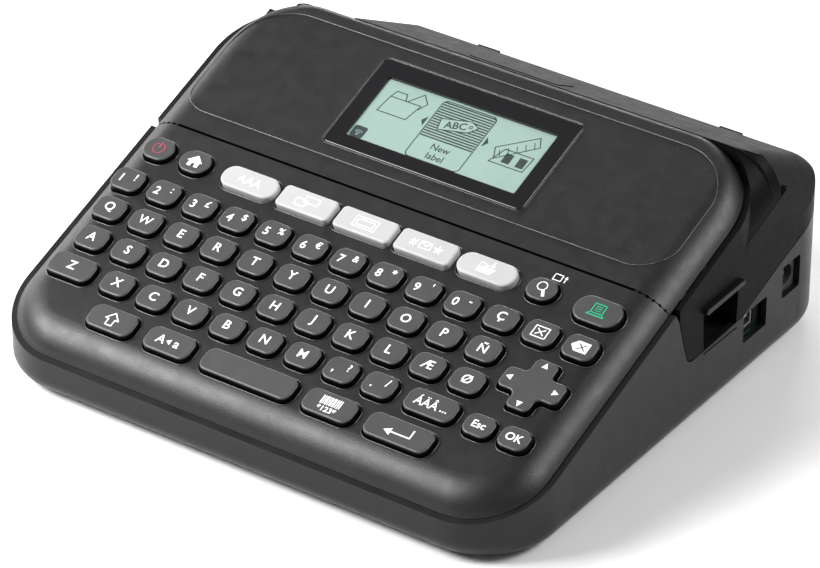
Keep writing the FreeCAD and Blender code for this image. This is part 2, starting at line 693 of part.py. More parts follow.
def crown_edges(solid):
    """Edges of the display deck's top with their radii: the crown fades towards the ridge."""
    local = solid.Shape.copy()
    local.Placement = FreeCAD.Placement()
    crown, ridge = SIZES["crown"], SIZES["ridge_round"]
    rows = []
    for number, edge in enumerate(local.Edges, start=1):
        middle = edge.valueAt((edge.FirstParameter + edge.LastParameter) / 2)
        if abs(middle.z - SIZES["deck_height"]) > 1e-6 or middle.y < SIZES["deck_split"] + 1:
            continue
        start, end = edge.Vertexes[0].Point, edge.Vertexes[-1].Point
        if "Circle" in edge.Curve.TypeId:
            first = crown if start.y < end.y - 1e-6 else ridge
            rows.append((number, first, ridge if first == crown else crown))
        elif middle.y > SIZES["deck_rear"] - 0.01:
            rows.append((number, ridge, ridge))
        else:
            rows.append((number, crown, crown))
    return rows


def display_inlay():
    """Thin panel let into the display deck round the display, flush with the crown."""
    panel = combine("Part::Common", "InlayPanel", doc.getObject("DisplayCrown"),
                    inlay_form("InlayForm", 0))
    opening = new_body("InlayOpening", deck=True)
    slab(opening, box_corners(S["lens_left"] - 0.15, S["lens_right"] + 0.15,
                              S["lens_front"] - 0.15, S["lens_rear"] + 0.15, 2), 0, 9)
    return node("display_inlay", combine("Part::Cut", "DisplayInlay", panel, opening))


def display_window():
    """Glossy frame round the display's clear area."""
    body = new_body("display_window", deck=True)
    high = S["deck_height"] + S["lens_proud"]
    block = slab(body, box_corners(S["lens_left"] + 0.1, S["lens_right"] - 0.1,
                                   S["lens_front"] + 0.1, S["lens_rear"] - 0.1, 2), 4.2, high)
    soften(body, block, 0.5, lambda e, m: m.z > float(high) - 1e-6)
    cut_out(body, box_corners(S["lcd_left"], S["lcd_right"], S["lcd_front"], S["lcd_rear"], 0.6),
            0, 9)
    return node("display_window", body)


def lcd_module():
    """Liquid crystal glass with its backing."""
    body = new_body("lcd_module", deck=True)
    slab(body, box_corners(S["lens_left"] + 1, S["lens_right"] - 1, S["lens_front"] + 1,
                           S["lens_rear"] - 1, 1), 0.6, 4.2)
    slab(body, box_corners(S["lcd_left"] + 0.1, S["lcd_right"] - 0.1, S["lcd_front"] + 0.1,
                           S["lcd_rear"] - 0.1, 0.5), 4.1, 5.6)
    return node("lcd_module", body)


# ---------------------------------------------------------------- keys

def key(name, centre_x, centre_v, width=None, depth=None, corner=None, count=1, shape="box",
        left=None, right=None, more=()):
    """One key, or a row of equal keys: its name, the sides of its cap, and wider neighbours."""
    width = S["key_width"] if width is None else dim(width)
    depth = S["key_depth"] if depth is None else dim(depth)
    centre_x, centre_v = dim(centre_x), dim(centre_v)
    left = centre_x - width / 2 if left is None else dim(left)
    right = centre_x + width / 2 if right is None else dim(right)
    return {"name": name, "left": left, "right": right, "front": centre_v - depth / 2,
            "rear": centre_v + depth / 2, "count": count, "shape": shape,
            "more": [(dim(low), dim(high)) for low, high in more],
            "corner": S["key_corner"] if corner is None else dim(corner)}


def key_table():
    """Every key of the board, row by row."""
    x, v, pitch, row = S["digit_x"], S["digit_v"], S["key_pitch"], S["row_pitch"]
    z_v = v - row * 3
    rows = [key("digit_keys", x, v, count=11),
            key("clear_all_key", x + pitch * 11, v),
            key("backspace_key", x + pitch * 12, v),
            key("q_row_keys", x + S["q_shift"], v - row, count=11),
            key("a_row_keys", x + S["a_shift"], v - row * 2, count=11),
            key("z_row_keys", x + S["z_shift"] + pitch, z_v, count=8, more=[(-85.4, -69.6)]),
            key("accent_key", 0, z_v, left=42.7, right=59.6),
            key("escape_key", 67.8, 28.3, 9.6, 7.8), key("ok_key", 79.5, 28.5, 9.6, 7.8)]
    low = z_v - row - 0.4
    for name, left, right in (("shift_key", -62, -45.7), ("caps_key", -41.1, -24.7),
                              ("space_key", -20.6, 11.7), ("symbol_key", 15.5, 32.8),
                              ("enter_key", 36.9, 59.1)):
        rows.append(key(name, 0, low, left=left, right=right))
    top = 78.2
    rows.append(key("power_key", -80.2, top, 10.4, 8.6, 4.2))
    rows.append(key("home_key", -66.6, top, 10.6, 8.6, 4.2))
    edges = [(-56.2, -36.4), (-35, -15.9), (-14.2, 5.8), (7.4, 27.1), (28.7, 48.5)]
    names = ("text_size_key", "layout_key", "frame_key", "special_key", "file_key")
    for name, (left, right) in zip(names, edges):
        rows.append(key(name, 0, top, depth=8.2, left=left, right=right,
                        corner=3.9 if name in ("text_size_key", "file_key") else 1.6))
    rows.append(key("preview_key", 57.4, top, 9.6, 8.2, 3.8))
    rows.append(key("print_key", 0, 77.6, depth=9.6, left=69.2, right=84.6, corner=4.4))
    rows.append(key("arrow_pad", 74, 46.8, 20.2, 18.8, 2, shape="plus"))
    return rows


def plus_corners(item, gap):
    """Outline of the four-way pad: a plus with rounded arms."""
    gap = dim(gap)
    left, right = item["left"] - gap, item["right"] + gap
    front, rear = item["front"] - gap, item["rear"] + gap
    arm = dim(3.9) + gap
    x, v = (left + right) / 2, (front + rear) / 2
    tip, root = dim(2), dim(1.6)
    return [(x - arm, front, tip), (x + arm, front, tip), (x + arm, v - arm, root),
            (right, v - arm, tip), (right, v + arm, tip), (x + arm, v + arm, root),
            (x + arm, rear, tip), (x - arm, rear, tip), (x - arm, v + arm, root),
            (left, v + arm, tip), (left, v - arm, tip), (x - arm, v - arm, root)]


def cap(body, item, left, right):
    """One cap with the flange under the deck that keeps it in."""
    low, lip, rim = S["key_bottom"], S["flange_top"], S["flange"]
    if item["shape"] == "plus":
        slab(body, plus_corners(item, rim), low, lip)
        top = slab(body, plus_corners(item, 0), low, S["key_top"])
    else:
        front, rear, corner = item["front"], item["rear"], item["corner"]
        slab(body, box_corners(left - rim, right + rim, front - rim, rear + rim,
                               corner + rim), low, lip)
        top = slab(body, box_corners(left, right, front, rear, corner), low, S["key_top"])
    return soften(body, top, S["key_edge"], lambda e, m: m.z > SIZES["key_top"] - 1e-6)


def key_caps(item):
    """A key or a row of keys."""
    body = new_body(item["name"], deck=True)
    cap(body, item, item["left"], item["right"])
    if item["count"] > 1:
        pattern = repeat_row(body, [], S["key_pitch"], item["count"])
        pattern.TransformMode = "Whole shape"
    if not item["more"]:
        return node(item["name"], body)
    links = [body]
    for left, right in item["more"]:
        links.append(new_body(item["name"] + "Wide", deck=True))
        cap(links[-1], item, left, right)
    group = doc.addObject("Part::Compound", item["name"] + "Group")
    group.Links = links
    return node(item["name"], group)


def keypad_mat():
    """Silicone mat under all the keys."""
    body = new_body("keypad_mat", deck=True)
    slab(body, box_corners(-86, 86, 9.4, 86, 10), -1, 0.8)
    return node("keypad_mat", body)


def keyboard_pcb():
    """Contact board under the mat."""
    body = new_body("keyboard_pcb", deck=True)
    slab(body, box_corners(-87.6, 87.6, 8, 87, 8), -2.6, -1)
    return node("keyboard_pcb", body)


# ---------------------------------------------------------------- power and sockets

def battery_cover():
    """Door of the battery bay, flush with the underside, turning on its round rear edge."""
    body = new_body("battery_cover")
    bay, front, rear = S["bay_half"] - 0.3, S["bay_front"] + 0.3, S["bay_rear"] - 0.3
    low = S["floor_bottom"] + 0.1
    slab(body, [(-bay, front, 1), (bay, front, 1), (bay, rear - DOOR_ROUND, 0),
                (-bay, rear - DOOR_ROUND, 0)], low, low + 2 * DOOR_ROUND)
    disc(body, rear - DOOR_ROUND, low + DOOR_ROUND, DOOR_ROUND, -bay, bay, "YZ_Plane")
    for x in (-12, 0, 12):
        cut_out(body, box_corners(x - 4, x + 4, front + 5, front + 8, 1), 0, 1.8)
    return node("battery_cover", body)


DOOR_ROUND = 0.95


def battery_cells():
    """Six cells in three rows of two."""
    body = new_body("battery_cells")
    middle = (S["bay_front"] + S["bay_rear"]) / 2
    high = 4.2 + S["cell_radius"]
    for row in (-1, 0, 1):
        for start in (-S["cell_length"] - 0.6, dim(0.6)):
            disc(body, middle + S["cell_pitch"] * row, high, S["cell_radius"], start,
                 start + S["cell_length"] - 1.5, "YZ_Plane")
            disc(body, middle + S["cell_pitch"] * row, high, 2.6,
                 start + S["cell_length"] - 1.6, start + S["cell_length"], "YZ_Plane")
    return node("battery_cells", body)


def battery_contacts():
    """Plated contact springs at both ends of the bay."""
    body = new_body("battery_contacts")
    middle = (S["bay_front"] + S["bay_rear"]) / 2
    high = 4.2 + SIZES["cell_radius"]
    for row in (-1, 0, 1):
        y = middle + S["cell_pitch"] * row
        for side in (-1, 1):
            outer, mid = S["bay_half"] * side, (S["bay_half"] - 0.6) * side
            tip = (S["cell_length"] + 0.7) * side
            low, top = (outer, mid) if side < 0 else (mid, outer)
            slab(body, box_corners(y - 5, y + 5, high - 5, high + 5, 1), low, top, "YZ_Plane")
            low, top = (outer + 0.1, tip) if side < 0 else (tip, outer - 0.1)
            disc(body, y, high, 3, low, top, "YZ_Plane")
    return node("battery_contacts", body)


def main_pcb():
    """Board at the right that carries the two sockets."""
    body = new_body("main_pcb")
    slab(body, box_corners(64, 91.4, 33, 71, 1), BOARD_LOW, BOARD_LOW + 1.6)
    slab(body, box_corners(66, 78, 36, 48, 0.5), BOARD_LOW + 1.5, BOARD_LOW + 3.2)
    for y in (54, 60):
        disc(body, 70, y, 2, BOARD_LOW + 1.5, BOARD_LOW + 9)
    return node("main_pcb", body)


def usb_socket():
    """Metal socket shell, open to the right."""
    body = new_body("usb_socket")
    low = BOARD_LOW + 1.6
    slab(body, box_corners(34.9, 43.1, low, 22.6, 0.8), 82, 91.2, "YZ_Plane")
    cut_out(body, box_corners(35.4, 42.6, 17.2, 22.1, 0.6), 83, 95, "YZ_Plane")
    slab(body, box_corners(36.6, 41.4, 19.2, 20.4), 82.5, 90.6, "YZ_Plane")
    return node("usb_socket", body)


def dc_jack():
    """Round power inlet with its centre pin."""
    body = new_body("dc_jack")
    y, z = (JACK_Y[0] + JACK_Y[1]) / 2, (JACK_Z[0] + JACK_Z[1]) / 2
    slab(body, box_corners(JACK_Y[0] + 0.3, JACK_Y[1] - 0.3, BOARD_LOW + 1.6, 29.4, 0.6), 80,
         92.1, "YZ_Plane")
    bore(body, y, z, 3.3, 82, 95, "YZ_Plane")
    disc(body, y, z, 0.95, 81, 91, "YZ_Plane")
    return node("dc_jack", body)


# ---------------------------------------------------------------- tape drive

TEETH = {"platen": 15, "idler": 19, "pinion": 8, "spindle": 35}


def polar(x, y, reach, degrees):
    """Point at a distance and bearing from another."""
    turn = math.radians(degrees)
    return x + reach * math.cos(turn), y + reach * math.sin(turn)


def mesh_reach(one, other):
    """Distance between the centres of two meshed gears."""
    return S["gear_module"] * (TEETH[one] + TEETH[other]) / 2


PLATEN = (S["platen_x"], S["platen_y"])
IDLER = polar(*PLATEN, mesh_reach("platen", "idler"), 100)
MOTOR = polar(*IDLER, mesh_reach("idler", "pinion"), 95)
SPINDLE = polar(*IDLER, mesh_reach("idler", "spindle"), 10)
SPOOL = (SPINDLE[0] + 30, SPINDLE[1])


def gear_phase(name):
    """Angle of a gear's first tooth, so that every pair is in mesh at rest."""
    step = {part: 360 / count for part, count in TEETH.items()}
    if name == "idler":
        return 0.0
    bearing = {"platen": 280.0, "pinion": 95.0, "spindle": 10.0}[name]
    offset = (bearing / step["idler"]) % 1
    return bearing + 180 + (offset - 0.5) * step[name]


def gear(part, name, spot, low, high):
    """Spur gear on its own axis: a root disc and one tapered tooth repeated round it."""
    body = new_body(part)
    place(body, spot[0], spot[1], 0, (0, 0, 1), gear_phase(name))
    module, count = S["gear_module"], TEETH[name]
    root = module * (count / 2 - 1.15)
    tip = module * (count / 2 + 0.8)
    disc(body, 0, 0, root, low, high)
    foot, crest = 0.5, 0.22
    tooth = slab(body, [(root - 0.3, -foot, 0), (tip, -crest, 0), (tip, crest, 0),
                        (root - 0.3, foot, 0)], low, high)
    ring = body.newObject("PartDesign::PolarPattern", "Teeth")
    ring.Originals = [tooth]
    ring.Axis = ([item for item in body.Origin.OriginFeatures if item.Role == "Z_Axis"][0], [""])
    ring.Angle = 360
    ring.Occurrences = count
    body.Tip = ring
    return body


def tape_chassis():
    """Plastic frame of the tape compartment, with the walls of the cassette bay."""
    body = new_body("tape_chassis")
    low, high = S["plate_low"], S["plate_high"]
    slab(body, box_corners(-72, 60, 26, 85.4, 3), low, high)
    slab(body, box_corners(-49.4, 19.4, 27, 81, 3), high - 0.5, 36)
    cut_out(body, box_corners(-47.6, 17.6, 28.8, 79.2, 2), high, 40)
    cut_out(body, box_corners(-60, -47, 24, 44), high, 40)
    for x, y, radius in ((*PLATEN, 1.5), (*SPINDLE, 2), (*MOTOR, 1)):
        bore(body, x, y, dim(radius) + S["shaft_fit"], 0, 20)
    bore(body, *IDLER, 1.5, 0, 20)
    for x, y in SCREW_PLACES[4:]:
        bore(body, x, y, 4.3, 0, 20)
    disc(body, *SPOOL, 3, high - 0.5, 35)
    return node("tape_chassis", body)


def cassette_case():
    """Tape cassette: closed case with hub holes below."""
    body = new_body("cassette_case")
    left, right, front, rear = -46.4, 16.4, 30, 78
    block = slab(body, box_corners(left, right, front, rear, 3), 15, 37)
    soften(body, block, 0.6, lambda e, m: abs(m.z - 37) < 1e-6)
    for x, y, radius in ((*SPINDLE, 6.4), (*SPOOL, 17.2)):
        bore(body, x, y, radius, 16.4, 35.6)
    for x, y, radius in ((*SPINDLE, 3), (*SPOOL, 3.6)):
        bore(body, x, y, radius, 10, 16.5)
    cut_out(body, box_corners(left - 5, left + 6, front - 5, front + 10), 10, 40)
    return node("cassette_case", body)


def tape_spool():
    """Roll of label tape on its hub, free on the post of the chassis."""
    body = new_body("tape_spool")
    disc(body, *SPOOL, 16.8, 16.8, 35.2)
    bore(body, *SPOOL, 3.05, 10, 35.3)
    return node("tape_spool", body)


def take_up_spool():
    """Small spool that the spindle turns."""
    body = new_body("take_up_spool")
    disc(body, *SPINDLE, 6, 16.8, 35.2)
    bore(body, *SPINDLE, 2, 10, 35.3)
    return node("take_up_spool", body)


def take_up_spindle():
    """Spindle with its gear under the chassis."""
    body = gear("take_up_spindle", "spindle", SPINDLE, S["gear_low"], S["gear_high"])
    disc(body, 0, 0, 2, S["gear_low"], 35)
    return node("take_up_spindle", body)


def platen_roller():
    """Rubber roller that presses the tape on the print head."""
    body = new_body("platen_roller")
    disc(body, *PLATEN, 4, 15, 35)
    bore(body, *PLATEN, 1.5, 10, 40)
    return node("platen_roller", body)


def platen_gear():
    """Gear and steel shaft of the platen roller."""
    body = gear("platen_gear", "platen", PLATEN, S["gear_low"], S["gear_high"])
    disc(body, 0, 0, 1.5, S["gear_low"], 38)
    return node("platen_gear", body)


def idler_gear():
    """Idler between the motor, the platen and the spindle."""
    body = gear("idler_gear", "idler", IDLER, S["gear_low"], S["gear_high"])
    bore(body, 0, 0, 1.5 + S["shaft_fit"], 0, 20)
    return node("idler_gear", body)


def idler_pin():
    """Fixed pin that the idler turns on."""
    body = new_body("idler_pin")
    disc(body, *IDLER, 1.5, S["gear_low"] - 0.8, S["plate_high"])
    return node("idler_pin", body)


def drive_motor():
    """Motor on top of the chassis plate."""
    body = new_body("drive_motor")
    block = disc(body, *MOTOR, 7, S["plate_high"], 34)
    soften(body, block, 0.8, lambda e, m: abs(m.z - 34) < 1e-6)
    bore(body, *MOTOR, 1 + SIZES["shaft_fit"], 10, 20)
    return node("drive_motor", body)


def motor_pinion():
    """Pinion on the motor's shaft."""
    body = gear("motor_pinion", "pinion", MOTOR, S["gear_low"], S["gear_high"])
    disc(body, 0, 0, 1, S["gear_low"], 19.5)
    return node("motor_pinion", body)


def print_head():
    """Thermal head on its heat sink plate, facing the platen roller."""
    body = new_body("print_head")
    slab(body, box_corners(-49.8, -48.6, 30.5, 41.5), S["plate_high"], 36)
    slab(body, box_corners(-48.8, -47.9, 31, 41), 17, 34)
    return node("print_head", body)


def cutter_lever():
    """Push lever at the left rear that drives the cutter."""
    body = new_body("cutter_lever")
    left, right = LEVER_X
    pad_block = slab(body, box_corners(left, right, 61, 80, 3), 36.8, 41)
    soften(body, pad_block, 1.2, lambda e, m: abs(m.z - 41) < 1e-6)
    slab(body, box_corners(left + 3, right - 3, LEVER_Y, 66), LEVER_Z - 2, 38)
    disc(body, LEVER_Y, LEVER_Z, 3.4, left + 0.6, right - 0.6, "YZ_Plane")
    bore(body, LEVER_Y, LEVER_Z, 1.5 + SIZES["shaft_fit"], left - 1, right + 1, "YZ_Plane")
    return node("cutter_lever", body)


def lever_pin():
    """Steel pin of the cutter lever."""
    body = new_body("lever_pin")
    disc(body, LEVER_Y, LEVER_Z, 1.5, LEVER_X[0] - 3, LEVER_X[1] + 3, "YZ_Plane")
    return node("lever_pin", body)


def cutter_blade():
    """Guillotine blade beside the tape's way out."""
    body = new_body("cutter_blade")
    slab(body, [(36.8, 17, 0), (44, 17, 0), (44, 38, 0), (37.6, 38, 0)], -87.5, -86.7,
         "YZ_Plane")
    slab(body, box_corners(40, 44, 17, 38, 0.5), -86.8, -84.2, "YZ_Plane")
    return node("cutter_blade", body)


def cutter_anvil():
    """Fixed edge that the blade cuts against, on a foot of the chassis."""
    body = new_body("cutter_anvil")
    slab(body, box_corners(24, 30.5, 14.4, 40), -86.5, -84.5, "YZ_Plane")
    slab(body, box_corners(24, 30.5, S["floor_top"], 14.6), -88, -83, "YZ_Plane")
    return node("cutter_anvil", body)


# ---------------------------------------------------------------- feet and screws

FEET = [(-66, -74), (66, -74), (-66, 76), (72, 76)]


def rubber_feet():
    """Four round feet under the floor."""
    body = new_body("rubber_feet")
    for x, y in FEET:
        disc(body, x, y, 6, 0, S["floor_bottom"])
    return node("rubber_feet", body)


def case_screws():
    """Self-tapping screws that hold the base to the upper casing."""
    body = new_body("case_screws")
    for x, y in SCREW_PLACES:
        disc(body, x, y, 2.8, 1.1, 2.6)
        disc(body, x, y, 1.5, 2.5, 12.5)
    return node("case_screws", body)


# ---------------------------------------------------------------- build and write

KEYS = key_table()
PARTS = [base_shell, rear_cover, cover_window, hinge_pins, left_casing, keyboard_bezel,
         display_deck, display_inlay, display_window, lcd_module, keypad_mat, keyboard_pcb,
         battery_cover, battery_cells, battery_contacts, main_pcb, usb_socket, dc_jack,
         tape_chassis, cassette_case, tape_spool, take_up_spool, take_up_spindle,
         platen_roller, platen_gear, idler_gear, idler_pin, drive_motor, motor_pinion,
         print_head, cutter_lever, lever_pin, cutter_blade, cutter_anvil, rubber_feet,
         case_screws]


def check_document():
    """Stop if any object failed or any sub-part has no valid shape."""
    for item in doc.Objects:
        if "Invalid" in item.State or "Error" in item.State:
            owner = item.getParentGeoFeatureGroup()
            where = owner.Label if owner else "document"
            raise RuntimeError(f"{item.Label} in {where} failed: {item.State}")
    for name, item in nodes.items():
        if item.Shape.isNull() or not item.Shape.isValid() or not item.Shape.Solids:
            raise RuntimeError(f"{name} has no valid shape")


for make in PARTS:
    make()
for item in KEYS:
    key_caps(item)
doc.recompute()
check_document()
os.makedirs("parts", exist_ok=True)
for name, item in nodes.items():
    item.Shape.exportStep(f"parts/{name}.step")
    print(name, len(item.Shape.Solids), round(item.Shape.Volume))
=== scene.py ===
import json
import math

import bmesh
import bpy
from mathutils import Matrix, Vector


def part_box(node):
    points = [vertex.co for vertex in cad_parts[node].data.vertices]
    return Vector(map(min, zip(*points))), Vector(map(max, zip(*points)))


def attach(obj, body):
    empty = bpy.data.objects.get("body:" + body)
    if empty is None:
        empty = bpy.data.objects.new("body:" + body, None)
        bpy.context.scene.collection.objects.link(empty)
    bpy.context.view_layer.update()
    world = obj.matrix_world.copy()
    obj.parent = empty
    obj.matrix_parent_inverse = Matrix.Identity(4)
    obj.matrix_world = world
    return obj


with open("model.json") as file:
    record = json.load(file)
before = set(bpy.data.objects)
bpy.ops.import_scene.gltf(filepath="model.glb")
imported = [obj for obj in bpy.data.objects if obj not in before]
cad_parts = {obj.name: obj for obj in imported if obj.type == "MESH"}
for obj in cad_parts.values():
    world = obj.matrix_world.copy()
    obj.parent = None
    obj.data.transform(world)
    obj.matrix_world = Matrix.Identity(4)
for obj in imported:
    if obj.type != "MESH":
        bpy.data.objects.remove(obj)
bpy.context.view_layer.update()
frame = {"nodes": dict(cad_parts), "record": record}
NODES = frame["nodes"]
MM = 0.001

# The deck's own plane: x across, v up the slope from the front edge, h out of the deck.
TILT = math.radians(20)
RIM_HEIGHT = 13.5 * MM
FRONT_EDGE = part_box("base_shell")[0].y
DECK = Matrix.Translation((0, FRONT_EDGE, RIM_HEIGHT)) @ Matrix.Rotation(TILT, 4, "X")
DECK_BACK = DECK.inverted()
KEY_TOP = 8 * MM
DECK_TOP = 6 * MM
KEY_GAP = 0.45 * MM

# Long-lens camera, seen from the front right and above.
CAMERA_AZIMUTH, CAMERA_ELEVATION = math.radians(34.89), math.radians(32.26)
CAMERA_TARGET = Vector((0.0302, -0.0449, 0.0532))
CAMERA_DISTANCE, CAMERA_LENS, CAMERA_SENSOR = 1.31734, 203.82, 36


def make_camera():
    """Put the camera at its distance from the target, looking at it."""
    data = bpy.data.cameras.new("camera")
    data.lens, data.sensor_width = CAMERA_LENS, CAMERA_SENSOR
    data.clip_start, data.clip_end = 0.05, 20
    camera = bpy.data.objects.new("camera", data)
    bpy.context.scene.collection.objects.link(camera)
    flat = math.cos(CAMERA_ELEVATION)
    back = Vector((math.sin(CAMERA_AZIMUTH) * flat, -math.cos(CAMERA_AZIMUTH) * flat,
                   math.sin(CAMERA_ELEVATION)))
    camera.location = CAMERA_TARGET + back * CAMERA_DISTANCE
    camera.rotation_euler = (math.pi / 2 - CAMERA_ELEVATION, 0, CAMERA_AZIMUTH)
    bpy.context.scene.camera = camera


make_camera()


# ---------------------------------------------------------------- materials

# Noise frequencies, in features per metre: slow drift of colour, finer smears of the gloss.
DRIFT_SCALE, SMEAR_SCALE = 60, 220
# Painted shade: the black given to the keys' sides, which face away from the light.
SIDE_SHADE_BLACK = (0.0025, 0.0025, 0.0025, 1)


def link_noise(tree, scale, detail, rough=0.6):
    """Noise texture over the object's own coordinates, in metres."""
    place = tree.nodes.new("ShaderNodeTexCoord")
    noise = tree.nodes.new("ShaderNodeTexNoise")
    noise.inputs["Scale"].default_value = scale
    noise.inputs["Detail"].default_value = detail
    noise.inputs["Roughness"].default_value = rough
    tree.links.new(place.outputs["Object"], noise.inputs["Vector"])
    return noise


def spread(tree, source, low, high, start=0.3, end=0.7):
    """Map a value between start and end to a range between low and high."""
    span = tree.nodes.new("ShaderNodeMapRange")
    span.inputs["From Min"].default_value = start
    span.inputs["From Max"].default_value = end
    span.inputs["To Min"].default_value = low
    span.inputs["To Max"].default_value = high
    tree.links.new(source, span.inputs["Value"])
    return span.outputs["Result"]


def finish_material(name, colour, rough, grain=0.0, depth=0.0, vary=0.0, metal=0.0, coat=0.0,
                    rough_vary=0.05, specular=0.5, alpha=1.0, stretch=None):
    """Procedural finish: moulded grain, colour drift and uneven roughness."""
    material = bpy.data.materials.new(name)
    material.use_nodes = True
    tree = material.node_tree
    shader = tree.nodes["Principled BSDF"]
    shader.inputs["Metallic"].default_value = metal
    shader.inputs["Coat Weight"].default_value = coat
    shader.inputs["Coat Roughness"].default_value = 0.08
    shader.inputs["Specular IOR Level"].default_value = specular
    shader.inputs["Alpha"].default_value = alpha
    drift = link_noise(tree, DRIFT_SCALE, 3)
    mix = tree.nodes.new("ShaderNodeMix")
    mix.data_type = "RGBA"
    low = [max(0.0, c * (1 - vary)) for c in colour]
    high = [min(1.0, c * (1 + vary)) for c in colour]
    mix.inputs["A"].default_value = (*low, 1)
    mix.inputs["B"].default_value = (*high, 1)
    tree.links.new(spread(tree, drift.outputs["Fac"], 0, 1), mix.inputs["Factor"])
    tree.links.new(mix.outputs["Result"], shader.inputs["Base Color"])
    smear = link_noise(tree, SMEAR_SCALE, 4)
    tree.links.new(spread(tree, smear.outputs["Fac"], rough - rough_vary, rough + rough_vary),
                   shader.inputs["Roughness"])
    if grain:
        fine = link_noise(tree, 1 / grain, 2, 0.5)
        if stretch:
            mapping = tree.nodes.new("ShaderNodeMapping")
            mapping.inputs["Scale"].default_value = stretch
            source = fine.inputs["Vector"].links[0].from_socket
            tree.links.new(source, mapping.inputs["Vector"])
            tree.links.new(mapping.outputs["Vector"], fine.inputs["Vector"])
        bump = tree.nodes.new("ShaderNodeBump")
        bump.inputs["Strength"].default_value = 1
        bump.inputs["Distance"].default_value = depth
        tree.links.new(fine.outputs["Fac"], bump.inputs["Height"])
        tree.links.new(bump.outputs["Normal"], shader.inputs["Normal"])
    return material


MAT = {
    "deck_black": finish_material("deck_black", (0.0075, 0.0075, 0.008), 0.4, 0.28 * MM,
                                  0.06 * MM, 0.02, specular=0.45),
    # Case black made a shade darker with its reflection turned down: painted shade for the rear
    # cover and its window.
    "cover_shaded_black": finish_material("cover_shaded_black", (0.005, 0.005, 0.0055), 0.45, 0.28 * MM,
                                   0.03 * MM, 0.02, specular=0.05),
    # Dead black without reflection: painted shade inside the joints.
    "seam_shade_black": finish_material("seam_shade_black", (0.001, 0.001, 0.001), 0.9, specular=0.0),
    # Lighter and glossier black for the raised beads: partly the beads' gloss, partly a painted
    # highlight.
    "rim_highlight_black": finish_material("rim_highlight_black", (0.02, 0.02, 0.021), 0.28, specular=0.6),
    "case_black": finish_material("case_black", (0.0055, 0.0055, 0.006), 0.36, 0.28 * MM,
                                  0.03 * MM, 0.02, specular=0.3),
    "gloss_black": finish_material("gloss_black", (0.007, 0.007, 0.008), 0.12, 6 * MM,
                                   0.01 * MM, 0.1, rough_vary=0.02),
    "smoke_clear": finish_material("smoke_clear", (0.05, 0.05, 0.055), 0.1, 6 * MM, 0.01 * MM,
                                   0.1, alpha=0.75, rough_vary=0.03),
    "lcd_glass": finish_material("lcd_glass", (0.235, 0.33, 0.295), 0.35, 0.5 * MM, 0.004 * MM,
                                 0.03),
    "key_black": finish_material("key_black", (0.05, 0.05, 0.0505), 0.38, 0.30 * MM,
                                 0.008 * MM, 0.04, specular=0.4),
    "key_grey": finish_material("key_grey", (0.40, 0.40, 0.405), 0.42, 0.30 * MM, 0.008 * MM,
                                0.04),
    "silicone": finish_material("silicone", (0.012, 0.012, 0.012), 0.7, 0.8 * MM, 0.03 * MM,
                                0.1),
    "circuit_board": finish_material("circuit_board", (0.006, 0.03, 0.015), 0.35, 1.2 * MM,
                                     0.02 * MM, 0.25),
    "steel": finish_material("steel", (0.56, 0.56, 0.57), 0.32, 0.3 * MM, 0.01 * MM, 0.08,
                             metal=1.0, stretch=(1, 8, 1)),
    "inner_plastic": finish_material("inner_plastic", (0.03, 0.03, 0.031), 0.5, 0.5 * MM,
                                     0.02 * MM, 0.1),
    "cassette_plastic": finish_material("cassette_plastic", (0.16, 0.16, 0.17), 0.35,
                                        0.6 * MM, 0.015 * MM, 0.08),
    "tape": finish_material("tape", (0.80, 0.80, 0.77), 0.45, 0.4 * MM, 0.02 * MM, 0.03),
    "gear_plastic": finish_material("gear_plastic", (0.74, 0.72, 0.66), 0.4, 0.6 * MM,
                                    0.01 * MM, 0.04),
    "motor_can": finish_material("motor_can", (0.48, 0.48, 0.49), 0.3, 0.4 * MM, 0.01 * MM,
                                 0.08, metal=1.0),
    "head_aluminium": finish_material("head_aluminium", (0.7, 0.7, 0.71), 0.35, 0.3 * MM,
                                      0.015 * MM, 0.05, metal=1.0, stretch=(8, 1, 1)),
    "foot_rubber": finish_material("foot_rubber", (0.015, 0.015, 0.015), 0.75, 0.7 * MM,
                                   0.04 * MM, 0.15),
    "cell_wrap": finish_material("cell_wrap", (0.16, 0.18, 0.22), 0.3, 1 * MM, 0.01 * MM, 0.1,
                                 coat=0.3),
    "print_white": finish_material("print_white", (0.86, 0.86, 0.86), 0.5, 0.2 * MM,
                                   0.004 * MM, 0.02),
    "print_soft": finish_material("print_soft", (0.93, 0.93, 0.93), 0.5, 0.2 * MM,
                                  0.004 * MM, 0.02),
    "print_green": finish_material("print_green", (0.0, 0.40, 0.20), 0.5, 0.2 * MM,
                                   0.004 * MM, 0.04),
    "print_red": finish_material("print_red", (0.42, 0.05, 0.10), 0.5, 0.2 * MM, 0.004 * MM,
                                 0.04),
    "lcd_ink": finish_material("lcd_ink", (0.022, 0.035, 0.034), 0.45, 0.2 * MM, 0.002 * MM,
                               0.05),
    "lcd_pale": finish_material("lcd_pale", (0.235, 0.33, 0.295), 0.4, 0.2 * MM, 0.002 * MM,
                                0.03),
}


# Special finishes of some nodes: the deck's grained black, and the rear cover's black with
# painted shade.
FINISH_AND_SHADE = {"rear_cover": "cover_shaded_black", "keyboard_bezel": "deck_black",
                  "display_deck": "deck_black", "display_inlay": "deck_black",
                  "cover_window": "cover_shaded_black"}


